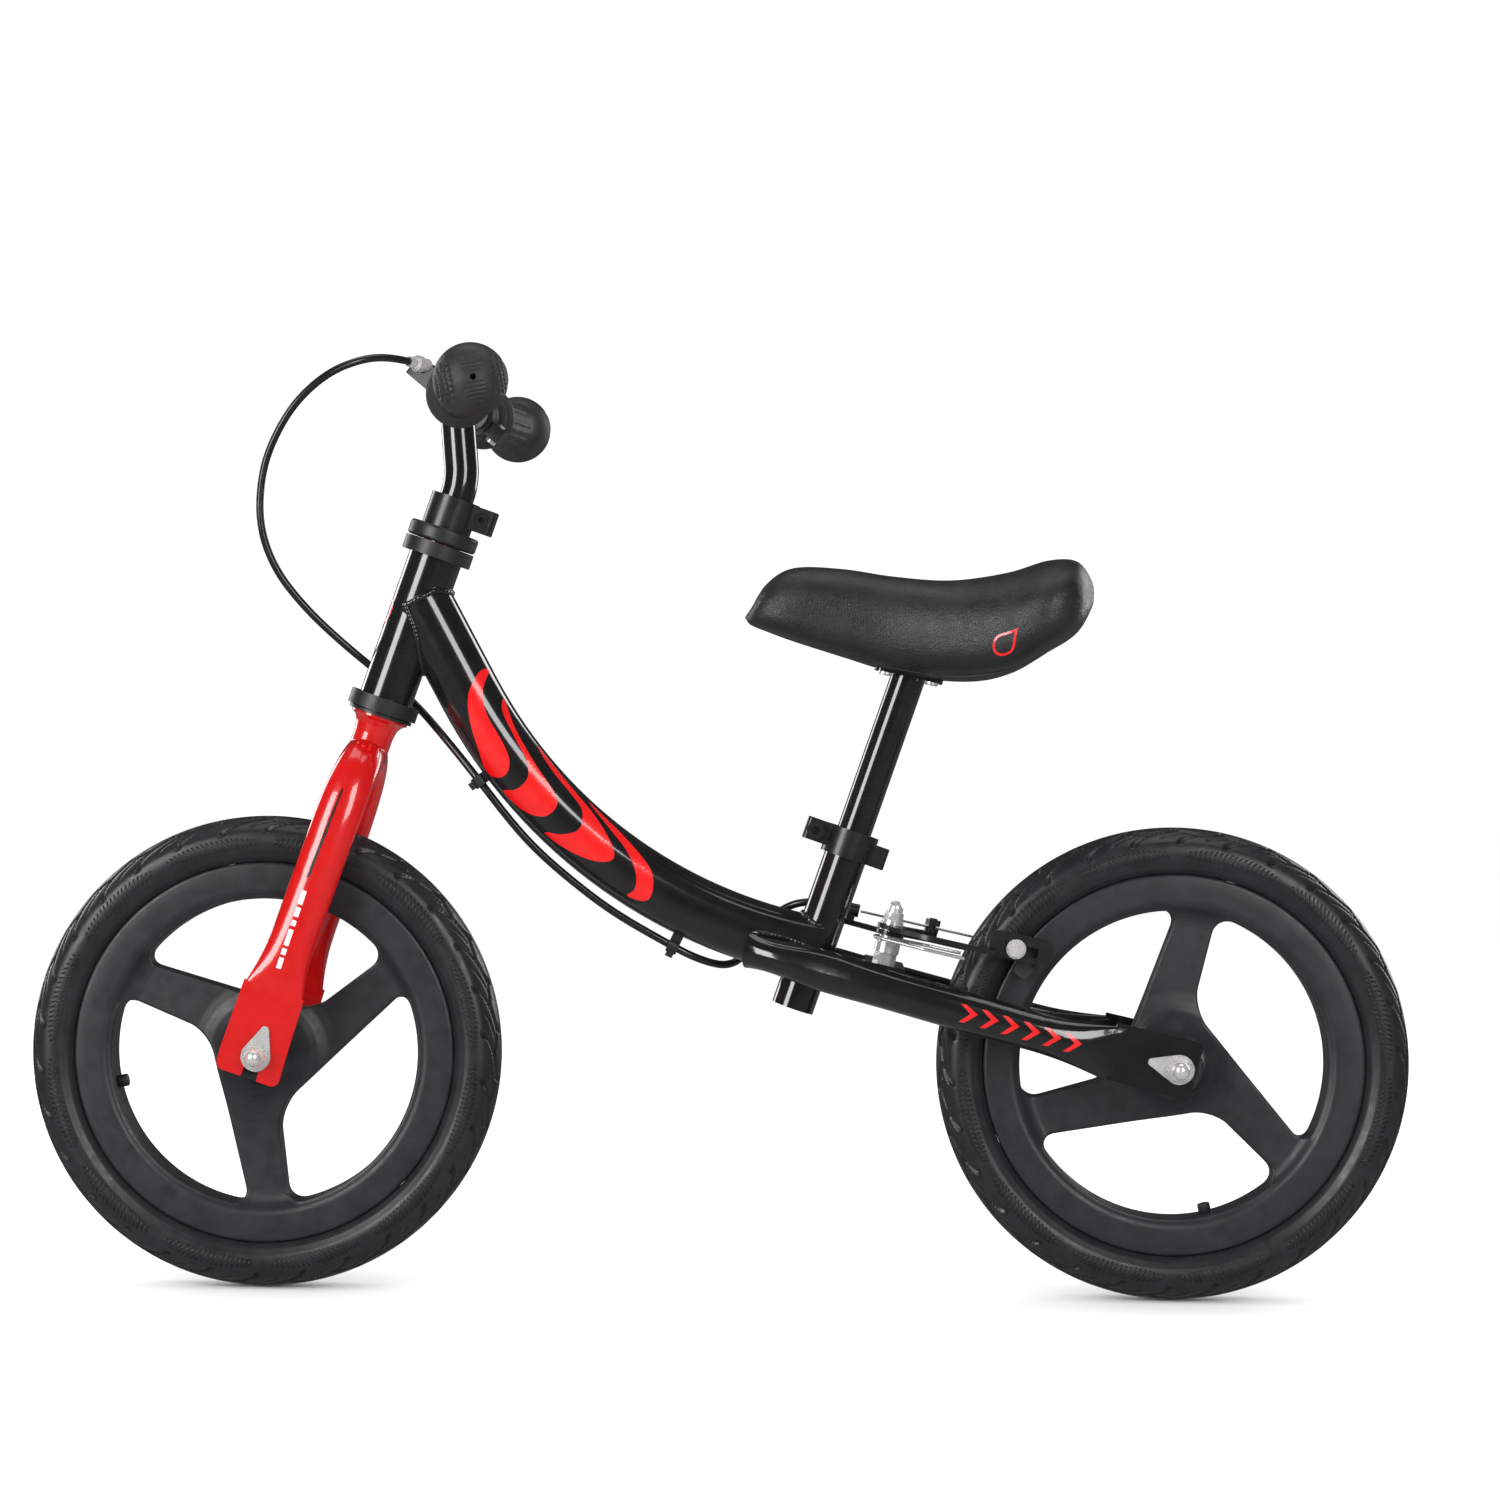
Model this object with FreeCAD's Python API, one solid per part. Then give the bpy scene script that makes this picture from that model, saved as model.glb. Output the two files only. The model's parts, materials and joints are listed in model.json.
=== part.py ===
"""Child's balance bike: steel frame, spoked wheels, adjustable bar and saddle, rear hand brake.

Frame of reference: origin on the ground, midway between the axles. +X points to the rear wheel,
-Y to the rider's left and +Z up. The bike faces -X. Lengths are millimetres, angles degrees.
"""
import FreeCAD, Part
import math
import os

V = FreeCAD.Vector

# ---- driving dimensions -------------------------------------------------------------------------
WHEEL_RADIUS = 150.0
WHEELBASE = 577.0

# steering: the local frame has its origin at the head tube's lower end and its z up the axis
STEER_ORIGIN = V(-215.4, 0, 375.8)
STEER_LEAN = 18.7
HEAD_LENGTH = 95.0
HEAD_RADIUS = 17.2
HEAD_BORE = 15.0
CUP_RADIUS = 22.6
CUP_HEIGHT = 9.2
CUP_FLOOR = 1.6
BEARING_RADIUS = 18.0
STEERER_RADIUS = 12.7
STEERER_BORE = 11.18
STEERER_TOP = 133.0
NECK_LOW = -44.0
NECK_TOP = -11.8
NECK_FLARE = 18.4
RACE_HEIGHT = 2.0
LOCKNUT_LOW = 104.9
LOCKNUT_HIGH = 114.6
COLLAR_LOW = 114.7
CLAMP_LOW = 118.7
CLAMP_HIGH = 135.4
CLAMP_RADIUS = 16.0
CLAMP_EAR_REACH = 28.8
CLAMP_BOLT_OFFSET = 20.5

# fork blades and dropouts, in the steering frame
AXLE_DROP = -237.3
AXLE_BACK = 3.1
DROPOUT_MID = 48.0
DROPOUT_THICK = 4.4
DROPOUT_END = -252.0
SLOT_WIDTH = 8.8
TUBE_WALL = 1.6

# main tube: a straight run off the head tube, then one long arc to the seat tube
MAIN_RADIUS = 20.0
MAIN_WALL = 1.8
MAIN_ARC_CENTRE = V(114.5, 0, 531.0)
MAIN_ARC_RADIUS = 315.0
MAIN_SLOPE = 61.3
MAIN_STRAIGHT = 67.2
MAIN_END_X = 64.0

# seat tube: the local frame has its origin at the tube's open lower end and its z up the tube
SEAT_ORIGIN = V(46.6, 0, 182.0)
SEAT_LEAN = 18.6
SEAT_TUBE_RADIUS = 13.6
SEAT_TUBE_LENGTH = 118.0
POST_RADIUS = 11.1
POST_BORE = 9.6
SLIDE_GAP = 0.08
POST_LOW = 72.0
POST_TOP = 223.0
FLANGE_THICK = 3.0
FLANGE_TILT = 12.0
FLANGE_HALF_LENGTH = 22.0
FLANGE_HALF_WIDTH = 16.0
SADDLE_SCREW_X = 15.0
SADDLE_SCREW_Y = 11.0
SEAT_CLAMP_LOW = 101.5
SEAT_CLAMP_HIGH = 119.2
SEAT_CLAMP_RADIUS = 16.6

# chainstays
STAY_RADIUS = 12.7
STAY_SLOPE = 0.2667
STAY_LEVEL = V(89.0, 0, 201.5)

# wheels
AXLE_RADIUS = 4.0
AXLE_HALF = 62.0
RIM_OUTER = 121.0
RIM_INNER = 97.5
RIM_HALF = 17.0
HUB_HALF = 40.0
HUB_END_RADIUS = 16.0
HUB_DISC_RADIUS = 30.0
WEB_HALF = 10.0
SPOKE_REACH = 110.0
SPOKE_LEAD_HUB = 32.5
SPOKE_LEAD_RIM = 8.6
SPOKE_TRAIL_HUB = 3.0
SPOKE_TRAIL_RIM = 14.4
SPOKE_BACK = -25.0
WHEEL_BEARING_RADIUS = 11.0
WHEEL_BEARING_WIDTH = 7.0
TYRE_HALF = 22.5
FRONT_SPOKE_ANGLE = 31.5
REAR_SPOKE_ANGLE = 82.0
FRONT_PLUG_ANGLE = 192.6
REAR_PLUG_ANGLE = 283.2

# handlebar
BAR_RADIUS = 11.1
BAR_WALL = 1.6
WELD_GAP = 0.03
STEM_LOW = 22.0
STEM_BEND_START = 136.5
STEM_BEND_RADIUS = 50.0
STEM_FORWARD_LEAN = 5.0
BAR_HEIGHT = 563.0
BAR_SWEEP = 9.5
BAR_SWEEP_START = 22.0
BAR_HALF = 170.0
GRIP_START = 75.0
BALL_CENTRE = 172.0
BALL_RADIUS = 22.5
GRIP_RADIUS = 15.5
FLANGE_RADIUS = 21.0

# brake lever: local x points forward and up from the bar, y outward along it
LEVER_STATION = 57.0
LEVER_RISE = 39.0
PIVOT_OUT = 32.0
PIVOT_ALONG = 6.0
PIN_RADIUS = 2.5
LEVER_OUT = 48.0
LEVER_END = 98.0

# caliper: local z runs up the pivot bolt from the bridge plate, x to the rear
CALIPER_ORIGIN = V(104.5, 0, 212.0)
CALIPER_LEAN = 12.0
ARM_THICK = 3.0
RIGHT_ARM_LOW = 17.0
LEFT_ARM_LOW = 21.0
PIVOT_RADIUS = 4.0
RUNNING_GAP = 0.06
PAD_PLATE_IN = 36.0
PAD_PLATE_OUT = 39.0
PAD_GAP = 1.5
PAD_REACH = 78.0
PAD_LEVEL = 28.0

# brake cable
HOUSING_RADIUS = 2.5
WIRE_RADIUS = 0.75
LOOP_UPPER = [V(-208, 42, 595.5), V(-218, 31, 597), V(-234, 18, 595), V(-256, 11, 585.5),
              V(-277, 8, 566), V(-291, 8, 542), V(-298.5, 8.5, 519), V(-299.25, 9.25, 503)]
LOOP_LOWER = [V(-299.25, 9.25, 503), V(-300, 10, 487), V(-290, 14, 458), V(-270, 19, 433),
              V(-248, 24, 412.5), V(-226, 28.5, 394.5), V(-201, 27.5, 374.5), V(-180, 15, 352.5),
              V(-167.5, 7.5, 338.25)]
FRAME_RUN = [V(-167.5, 7.5, 338.25), V(-155, 0, 324), V(-139, 0, 303.5), V(-121, 0, 283), V(-98, 0, 263),
             V(-70, 0, 242), V(-38, 0, 224), V(-13, 4, 211), V(7, 22, 206), V(19, 36, 218),
             V(30, 35, 237), V(46, 27, 247.5), V(63, 24.3, 248.9), V(77.2, 25, 245.5)]
GUIDE_POINTS = [V(-155, 0, 324), V(-30, 0, 220)]

# saddle stations: distance from the axles' midpoint, underside, top and half width
SADDLE_STATIONS = [(17.0, 425.5, 436.0, 17.0), (27.0, 421.5, 452.0, 25.5), (44.0, 415.5, 462.2, 30.5),
                   (75.0, 406.0, 462.4, 33.0), (108.0, 396.5, 458.6, 38.0), (145.0, 391.2, 456.8, 50.0),
                   (180.0, 395.5, 461.5, 65.0), (205.0, 409.5, 468.8, 70.0), (223.0, 421.5, 468.5, 58.0),
                   (232.5, 437.0, 457.5, 30.0)]
PAN_STATIONS = [(36.0, 415.5, 10.0, 13.0), (75.0, 403.5, 11.5, 21.0), (108.0, 394.0, 11.5, 25.0),
                (145.0, 388.7, 11.5, 34.0), (180.0, 393.0, 11.5, 44.0), (204.0, 407.0, 10.0, 44.0)]

X_AXIS = V(1, 0, 0)
Y_AXIS = V(0, 1, 0)
Z_AXIS = V(0, 0, 1)
CENTRE = V(0, 0, 0)
SIDES = (("left", -1), ("right", 1))

PARTS = {}


# ---- frames and helpers -------------------------------------------------------------------------
def frame_matrix(origin, x_dir, y_dir, z_dir):
    """Matrix that takes a local frame to the bike's frame."""
    return FreeCAD.Matrix(x_dir.x, y_dir.x, z_dir.x, origin.x,
                          x_dir.y, y_dir.y, z_dir.y, origin.y,
                          x_dir.z, y_dir.z, z_dir.z, origin.z,
                          0, 0, 0, 1)


def leaning_frame(origin, lean):
    """Frame whose z leans back from the vertical by lean degrees."""
    sine = math.sin(math.radians(lean))
    cosine = math.cos(math.radians(lean))
    return frame_matrix(origin, V(cosine, 0, -sine), V(Y_AXIS), V(sine, 0, cosine))


def unit(vector):
    """Copy of a vector with length one."""
    return vector * (1.0 / vector.Length)


def lever_frame():
    """Frame on the right side of the bar at the brake lever."""
    sweep = math.radians(BAR_SWEEP)
    along = V(math.sin(sweep), math.cos(sweep), 0)
    rise = math.radians(LEVER_RISE)
    forward = V(-math.cos(rise), 0, math.sin(rise))
    forward = unit(forward - along * forward.dot(along))
    origin = bar_point(LEVER_STATION)
    return frame_matrix(origin, forward, along, forward.cross(along))


def placed(shape, matrix):
    """Shape moved from a local frame into the bike's frame."""
    return shape.transformed(matrix, True)


def add(name, shape):
    """Keep one finished sub-part under its name."""
    PARTS[name] = shape


def ring(outer, inner, low, high):
    """Round ring about the local z axis."""
    body = Part.makeCylinder(outer, high - low, V(0, 0, low))
    if inner <= 0:
        return body
    return body.cut(Part.makeCylinder(inner, high - low + 2, V(0, 0, low - 1)))


def axle_ring(outer, inner, low, high):
    """Round ring about the local y axis."""
    body = Part.makeCylinder(outer, high - low, V(0, low, 0), Y_AXIS)
    if inner <= 0:
        return body
    return body.cut(Part.makeCylinder(inner, high - low + 2, V(0, low - 1, 0), Y_AXIS))


def block(low, high):
    """Box between two corners."""
    return Part.makeBox(high.x - low.x, high.y - low.y, high.z - low.z, low)


def hexagon(across_flats, height, base, direction):
    """Hexagonal prism standing on base along direction."""
    corner_radius = across_flats / math.sqrt(3)
    side = unit(direction.cross(Y_AXIS if abs(direction.y) < 0.9 else Z_AXIS))
    other = direction.cross(side)
    corners = []
    for step in range(7):
        angle = math.radians(60 * step)
        corners.append(base + side * (corner_radius * math.cos(angle))
                       + other * (corner_radius * math.sin(angle)))
    return Part.Face(Part.makePolygon(corners)).extrude(direction * height)


def acorn_nut(base, direction, across_flats=13.0, height=7.5, dome=5.6, bore=AXLE_RADIUS, depth=11.0):
    """Hexagonal nut with a domed cap, standing on base along direction."""
    flange = Part.makeCylinder(across_flats * 0.62, 1.6, base, direction)
    body = hexagon(across_flats, height, base, direction)
    body = body.common(Part.makeCone(across_flats * 0.62, across_flats * 0.52, height, base, direction))
    neck = Part.makeCylinder(dome, 2.4, base + direction * height, direction)
    cap = Part.makeSphere(dome, base + direction * (height + 2.4))
    nut = flange.fuse([body, neck, cap]).removeSplitter()
    return nut.cut(Part.makeCylinder(bore, depth, base, direction))


def rounded_path(points, radii):
    """Straight runs through points, joined by tangent arcs of the given radii."""
    edges = []
    start = points[0]
    for index, radius in enumerate(radii):
        corner = points[index + 1]
        back = unit(points[index] - corner)
        ahead = unit(points[index + 2] - corner)
        half_turn = (math.pi - back.getAngle(ahead)) / 2
        reach = radius * math.tan(half_turn)
        enter = corner + back * reach
        leave = corner + ahead * reach
        middle = corner + unit(back + ahead) * (radius / math.cos(half_turn) - radius)
        edges.append(Part.LineSegment(start, enter).toShape())
        edges.append(Part.Arc(enter, middle, leave).toShape())
        start = leave
    edges.append(Part.LineSegment(start, points[-1]).toShape())
    return Part.Wire(edges)


def cable_radii(points):
    """Largest comfortable arc radius at each inner point of a cable's route."""
    radii = []
    for before, corner, after in zip(points, points[1:], points[2:]):
        back = before - corner
        ahead = after - corner
        turn = math.pi - back.getAngle(ahead)
        radii.append(0.45 * min(back.Length, ahead.Length) / math.tan(turn / 2))
    return radii


def pipe(path, radius, bore=0.0):
    """Round tube or rod along a path."""
    first = path.Edges[0]
    start = first.Vertexes[0].Point
    tangent = first.tangentAt(first.FirstParameter)
    outer = Part.Wire([Part.Circle(start, tangent, radius).toShape()])
    solid = path.makePipeShell([outer], True, False)
    if bore > 0:
        inner = Part.Wire([Part.Circle(start, tangent, bore).toShape()])
        solid = solid.cut(path.makePipeShell([inner], True, False))
    return solid


def section_wire(centre, wide_dir, thin_dir, half_wide, half_thin, power):
    """Closed smooth section: an ellipse at power 2, nearly a rectangle at high powers."""
    count = 24
    points = []
    for step in range(count):
        angle = 2 * math.pi * step / count
        cosine = math.cos(angle)
        sine = math.sin(angle)
        across = math.copysign(abs(cosine) ** (2 / power), cosine) * half_wide
        through = math.copysign(abs(sine) ** (2 / power), sine) * half_thin
        points.append(centre + wide_dir * across + thin_dir * through)
    curve = Part.BSplineCurve()
    curve.interpolate(Points=points, PeriodicFlag=True)
    return Part.Wire([curve.toShape()])


def shaped_tube(stations, wide_dir, inset=0.0):
    """Loft through stations (centre, half_wide, half_thin, power), each square to the path."""
    wires = []
    for index, (centre, half_wide, half_thin, power) in enumerate(stations):
        before = stations[max(index - 1, 0)][0]
        after = stations[min(index + 1, len(stations) - 1)][0]
        along = unit(after - before)
        thin_dir = unit(along.cross(wide_dir))
        across = unit(thin_dir.cross(along))
        wires.append(section_wire(centre, across, thin_dir, half_wide - inset, half_thin - inset, power))
    return Part.makeLoft(wires, True, False)


def vertical_edges(shape, direction, test):
    """Straight edges along direction whose midpoint passes a test."""
    chosen = []
    for edge in shape.Edges:
        if edge.Curve.TypeId != "Part::GeomLine":
            continue
        if abs(abs(unit(edge.tangentAt(edge.FirstParameter)).dot(direction)) - 1) > 1e-4:
            continue
        middle = (edge.Vertexes[0].Point + edge.Vertexes[-1].Point) * 0.5
        if test(middle):
            chosen.append(edge)
    return chosen


STEER = leaning_frame(STEER_ORIGIN, STEER_LEAN)
SEAT = leaning_frame(SEAT_ORIGIN, SEAT_LEAN)
CALIPER = leaning_frame(CALIPER_ORIGIN, CALIPER_LEAN)
FRONT_AXLE = V(-WHEELBASE / 2, 0, WHEEL_RADIUS)
REAR_AXLE = V(WHEELBASE / 2, 0, WHEEL_RADIUS)


# ---- frame --------------------------------------------------------------------------------------
def main_tube_path(extra=0.0):
    """Centreline of the main tube from the steering axis to just behind the seat tube."""
    slope = math.radians(MAIN_SLOPE)
    down = V(math.cos(slope), 0, -math.sin(slope))
    arc_start = MAIN_ARC_CENTRE + V(-math.sin(slope), 0, -math.cos(slope)) * MAIN_ARC_RADIUS
    offset = MAIN_END_X + extra - MAIN_ARC_CENTRE.x
    end_angle = math.asin(offset / MAIN_ARC_RADIUS)
    mid_angle = (end_angle - slope) / 2
    arc_middle = MAIN_ARC_CENTRE + V(math.sin(mid_angle), 0, -math.cos(mid_angle)) * MAIN_ARC_RADIUS
    arc_end = MAIN_ARC_CENTRE + V(math.sin(end_angle), 0, -math.cos(end_angle)) * MAIN_ARC_RADIUS
    start = arc_start - down * MAIN_STRAIGHT
    return Part.Wire([Part.LineSegment(start, arc_start).toShape(),
                      Part.Arc(arc_start, arc_middle, arc_end).toShape()])


def seat_tube_core(radius):
    """Solid rod along the seat tube, longer than the tube."""
    return placed(Part.makeCylinder(radius, SEAT_TUBE_LENGTH + 60, V(0, 0, -30)), SEAT)


def make_frame_tubes():
    """Head, main and seat tubes, with the welded joints cut face to face."""
    head = placed(ring(HEAD_RADIUS, HEAD_BORE, 0, HEAD_LENGTH), STEER)
    head_core = placed(Part.makeCylinder(HEAD_RADIUS, HEAD_LENGTH + 80, V(0, 0, -40)), STEER)
    main = pipe(main_tube_path(), MAIN_RADIUS, MAIN_RADIUS - MAIN_WALL)
    main = main.cut(head_core).cut(seat_tube_core(SEAT_TUBE_RADIUS))
    main = max(main.Solids, key=lambda solid: solid.Volume)
    seat = placed(ring(SEAT_TUBE_RADIUS, POST_RADIUS + SLIDE_GAP, 0, SEAT_TUBE_LENGTH), SEAT)
    add("head_tube", head)
    add("main_tube", main)
    add("seat_tube", seat)


def stay_point(x, y):
    """Point on a chainstay's centreline."""
    return V(x, y, STAY_LEVEL.z - (x - STAY_LEVEL.x) * STAY_SLOPE)


def dropout_plate(corners, axle, slot_dir, side):
    """Flat dropout with an open slot for the axle, standing across Y at one side."""
    low = side * DROPOUT_MID - DROPOUT_THICK / 2
    outline = [V(x, low, z) for x, z in corners]
    plate = Part.Face(Part.makePolygon(outline + outline[:1])).extrude(Y_AXIS * DROPOUT_THICK)
    plate = plate.makeFillet(5.0, vertical_edges(plate, Y_AXIS, lambda p: (p - axle).dot(slot_dir) > 0))
    hole = Part.makeCylinder(SLOT_WIDTH / 2, DROPOUT_THICK + 2, V(axle.x, low - 1, axle.z), Y_AXIS)
    across = slot_dir.cross(Y_AXIS) * (SLOT_WIDTH / 2)
    base = V(axle.x, low - 1, axle.z)
    mouth = base + slot_dir * 40
    slot = Part.makePolygon([base - across, base + across, mouth + across * 1.5, mouth - across * 1.5,
                             base - across])
    slot = Part.Face(slot).extrude(Y_AXIS * (DROPOUT_THICK + 2))
    return plate.cut(hole.fuse(slot))


def make_chainstays():
    """Two stays from the main tube's sides to the rear dropouts."""
    main_core = pipe(main_tube_path(8.0), MAIN_RADIUS)
    seat_core = seat_tube_core(SEAT_TUBE_RADIUS)
    slope = math.atan(STAY_SLOPE)
    rearward = V(math.cos(slope), 0, -math.sin(slope))
    corners = [(250, 178.4), (304.4, 166.5), (299.0, 148.0), (295.3, 130.1), (243, 143.6)]
    for name, side in SIDES:
        shape = [(20, 13, 12.7, 12.7, 2), (55, 26.5, 12.7, 12.7, 2), (95, 38, 12.7, 12.7, 2),
                 (140, 42.6, 12.7, 12.7, 2), (180, 43.4, 12.7, 12.7, 2), (212, 44.5, 13.0, 11.8, 2),
                 (234, 46.6, 15.4, 6.6, 2.4), (251, DROPOUT_MID, 17.9, DROPOUT_THICK / 2, 7)]
        stations = [(stay_point(x, side * y), wide, thin, power) for x, y, wide, thin, power in shape]
        outer = shaped_tube(stations, Z_AXIS)
        hollow = shaped_tube(stations[:6], Z_AXIS, TUBE_WALL)
        plate = dropout_plate(corners, REAR_AXLE, rearward, side)
        stay = outer.cut(hollow).fuse(plate).cut(main_core).cut(seat_core)
        add(name + "_chainstay", max(stay.Solids, key=lambda solid: solid.Volume))


def make_brake_bridge():
    """Plate across the two stays that carries the caliper's pivot bolt."""
    plate = block(V(-12, -40, -4), V(13, 40, 0))
    plate = plate.fuse(block(V(-12, -34, -12), V(-9, 34, -3)))
    plate = plate.cut(Part.makeCylinder(PIVOT_RADIUS, 20, V(0, 0, -15)))
    plate = placed(plate, CALIPER)
    for name, _ in SIDES:
        plate = plate.cut(PARTS[name + "_chainstay"])
    add("brake_bridge", max(plate.Solids, key=lambda solid: solid.Volume))


def make_headset():
    """Cups and bearings pressed into the head tube."""
    upper = ring(CUP_RADIUS, BEARING_RADIUS, HEAD_LENGTH, HEAD_LENGTH + CUP_HEIGHT)
    upper = upper.fuse(ring(HEAD_BORE, STEERER_RADIUS + 0.8, HEAD_LENGTH - 7, HEAD_LENGTH + CUP_FLOOR))
    upper = upper.fuse(ring(CUP_RADIUS, STEERER_RADIUS + 0.8, HEAD_LENGTH, HEAD_LENGTH + CUP_FLOOR))
    lower = ring(CUP_RADIUS, BEARING_RADIUS, -CUP_HEIGHT, 0)
    lower = lower.fuse(ring(HEAD_BORE, STEERER_RADIUS + 0.8, -CUP_FLOOR, 7))
    lower = lower.fuse(ring(CUP_RADIUS, STEERER_RADIUS + 0.8, -CUP_FLOOR, 0))
    add("upper_headset_cup", placed(upper.removeSplitter(), STEER))
    add("lower_headset_cup", placed(lower.removeSplitter(), STEER))
    inner = STEERER_RADIUS + RUNNING_GAP
    low_bearing = ring(BEARING_RADIUS, inner, -CUP_HEIGHT + 0.6, -CUP_FLOOR)
    high_bearing = ring(BEARING_RADIUS, inner, HEAD_LENGTH + CUP_FLOOR, HEAD_LENGTH + CUP_HEIGHT - 0.6)
    add("headset_bearings", placed(Part.makeCompound([low_bearing, high_bearing]), STEER))


def make_seat_clamp():
    """Split collar on top of the seat tube, with a bolted front ear and a rear tab."""
    low = SEAT_CLAMP_LOW
    high = SEAT_CLAMP_HIGH
    collar = ring(SEAT_CLAMP_RADIUS, SEAT_TUBE_RADIUS, low, high)
    ear = block(V(-30.5, -9, low + 3.5), V(-12, 9, high - 0.2))
    ear = ear.makeFillet(3.0, vertical_edges(ear, Z_AXIS, lambda p: p.x < -25))
    tab = block(V(13, -8, low), V(25.2, 8, high - 4))
    tab = tab.makeFillet(3.0, vertical_edges(tab, Z_AXIS, lambda p: p.x > 20))
    tab = tab.cut(block(V(15, -2.2, low - 1), V(26, 2.2, high)))
    clamp = collar.fuse([ear, tab])
    clamp = clamp.cut(Part.makeCylinder(SEAT_TUBE_RADIUS, 40, V(0, 0, low - 10)))
    clamp = clamp.cut(block(V(-40, -1.1, low - 1), V(-10, 1.1, high + 1)))
    bolt_level = 111.6
    bolt_x = -23.4
    clamp = clamp.cut(Part.makeCylinder(3, 40, V(bolt_x, -20, bolt_level), Y_AXIS))
    clamp = clamp.removeSplitter()
    shank = Part.makeCylinder(3, 22, V(bolt_x, -9, bolt_level), Y_AXIS)
    head = Part.makeCylinder(5.6, 4.5, V(bolt_x, -13.5, bolt_level), Y_AXIS)
    head = head.cut(hexagon(5, 3, V(bolt_x, -13.5, bolt_level), V(Y_AXIS)))
    nut = hexagon(10, 4.5, V(bolt_x, 9, bolt_level), V(Y_AXIS))
    add("seat_clamp", placed(clamp, SEAT))
    add("seat_clamp_bolt", placed(shank.fuse([head, nut]), SEAT))


# ---- fork ---------------------------------------------------------------------------------------
def make_steerer():
    """Steerer tube with its flared neck, down to the blades."""
    tube = ring(STEERER_RADIUS, STEERER_BORE, -30, STEERER_TOP)
    neck = ring(STEERER_RADIUS, STEERER_BORE, NECK_LOW, -18)
    profile = [V(STEERER_BORE, 0, -24), V(STEERER_RADIUS, 0, -24), V(13.6, 0, -18.5), V(15.4, 0, -15.2),
               V(NECK_FLARE, 0, -13.2), V(NECK_FLARE, 0, NECK_TOP), V(STEERER_BORE, 0, NECK_TOP),
               V(STEERER_BORE, 0, -24)]
    flare = Part.Face(Part.makePolygon(profile)).revolve(CENTRE, Z_AXIS, 360)
    slit = block(V(5, -1, CLAMP_LOW + 1), V(20, 1, STEERER_TOP + 1))
    steerer = tube.fuse([neck, flare]).removeSplitter().cut(slit)
    add("steerer_tube", placed(steerer, STEER))
    race = ring(20.6, STEERER_RADIUS, NECK_TOP, NECK_TOP + RACE_HEIGHT)
    add("crown_race", placed(race, STEER))
    locknut = ring(CUP_RADIUS, STEERER_RADIUS, LOCKNUT_LOW, LOCKNUT_HIGH)
    rims = [edge for edge in locknut.Edges if edge.Curve.TypeId == "Part::GeomCircle"
            and abs(edge.Curve.Radius - CUP_RADIUS) < 0.01]
    add("headset_locknut", placed(locknut.makeFillet(2.0, rims), STEER))


def make_fork_blades():
    """Two curved blades, flattened at their ends into open dropouts."""
    neck_core = placed(Part.makeCylinder(STEERER_RADIUS, 200, V(0, 0, NECK_LOW)), STEER)
    corners = [(-19.8, -194.0), (-19.9, -240.0), (-19.0, DROPOUT_END), (22.5, DROPOUT_END), (21.5, -240.0),
               (19.8, -194.0)]
    axle = V(AXLE_BACK, 0, AXLE_DROP)
    shape = [(-6, -37.0, 13.0, 11.0, 2), (6, -38.2, 13.2, 11.2, 2), (17, -43.5, 13.6, 11.2, 2),
             (28, -55.0, 14.2, 10.6, 2), (35, -74.0, 14.6, 10.0, 2), (38.6, -106.0, 14.6, 9.6, 2),
             (41.0, -145.0, 14.5, 9.0, 2), (44.2, -172.0, 15.0, 7.4, 2.2),
             (46.8, -188.0, 17.4, 4.2, 3.0), (DROPOUT_MID, -200.0, 19.8, DROPOUT_THICK / 2, 8)]
    for name, side in SIDES:
        stations = [(V(0, side * y, z), wide, thin, power) for y, z, wide, thin, power in shape]
        outer = shaped_tube(stations, X_AXIS)
        hollow = shaped_tube(stations[:7], X_AXIS, TUBE_WALL)
        plate = dropout_plate(corners, axle, V(0, 0, -1), side)
        half = block(V(-60, 0, -300), V(60, 100, 100))
        if side < 0:
            half = block(V(-60, -100, -300), V(60, 0, 100))
        blade = outer.cut(hollow).fuse(plate).common(half)
        blade = placed(blade, STEER).cut(neck_core)
        add(name + "_fork_blade", max(blade.Solids, key=lambda solid: solid.Volume))


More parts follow.
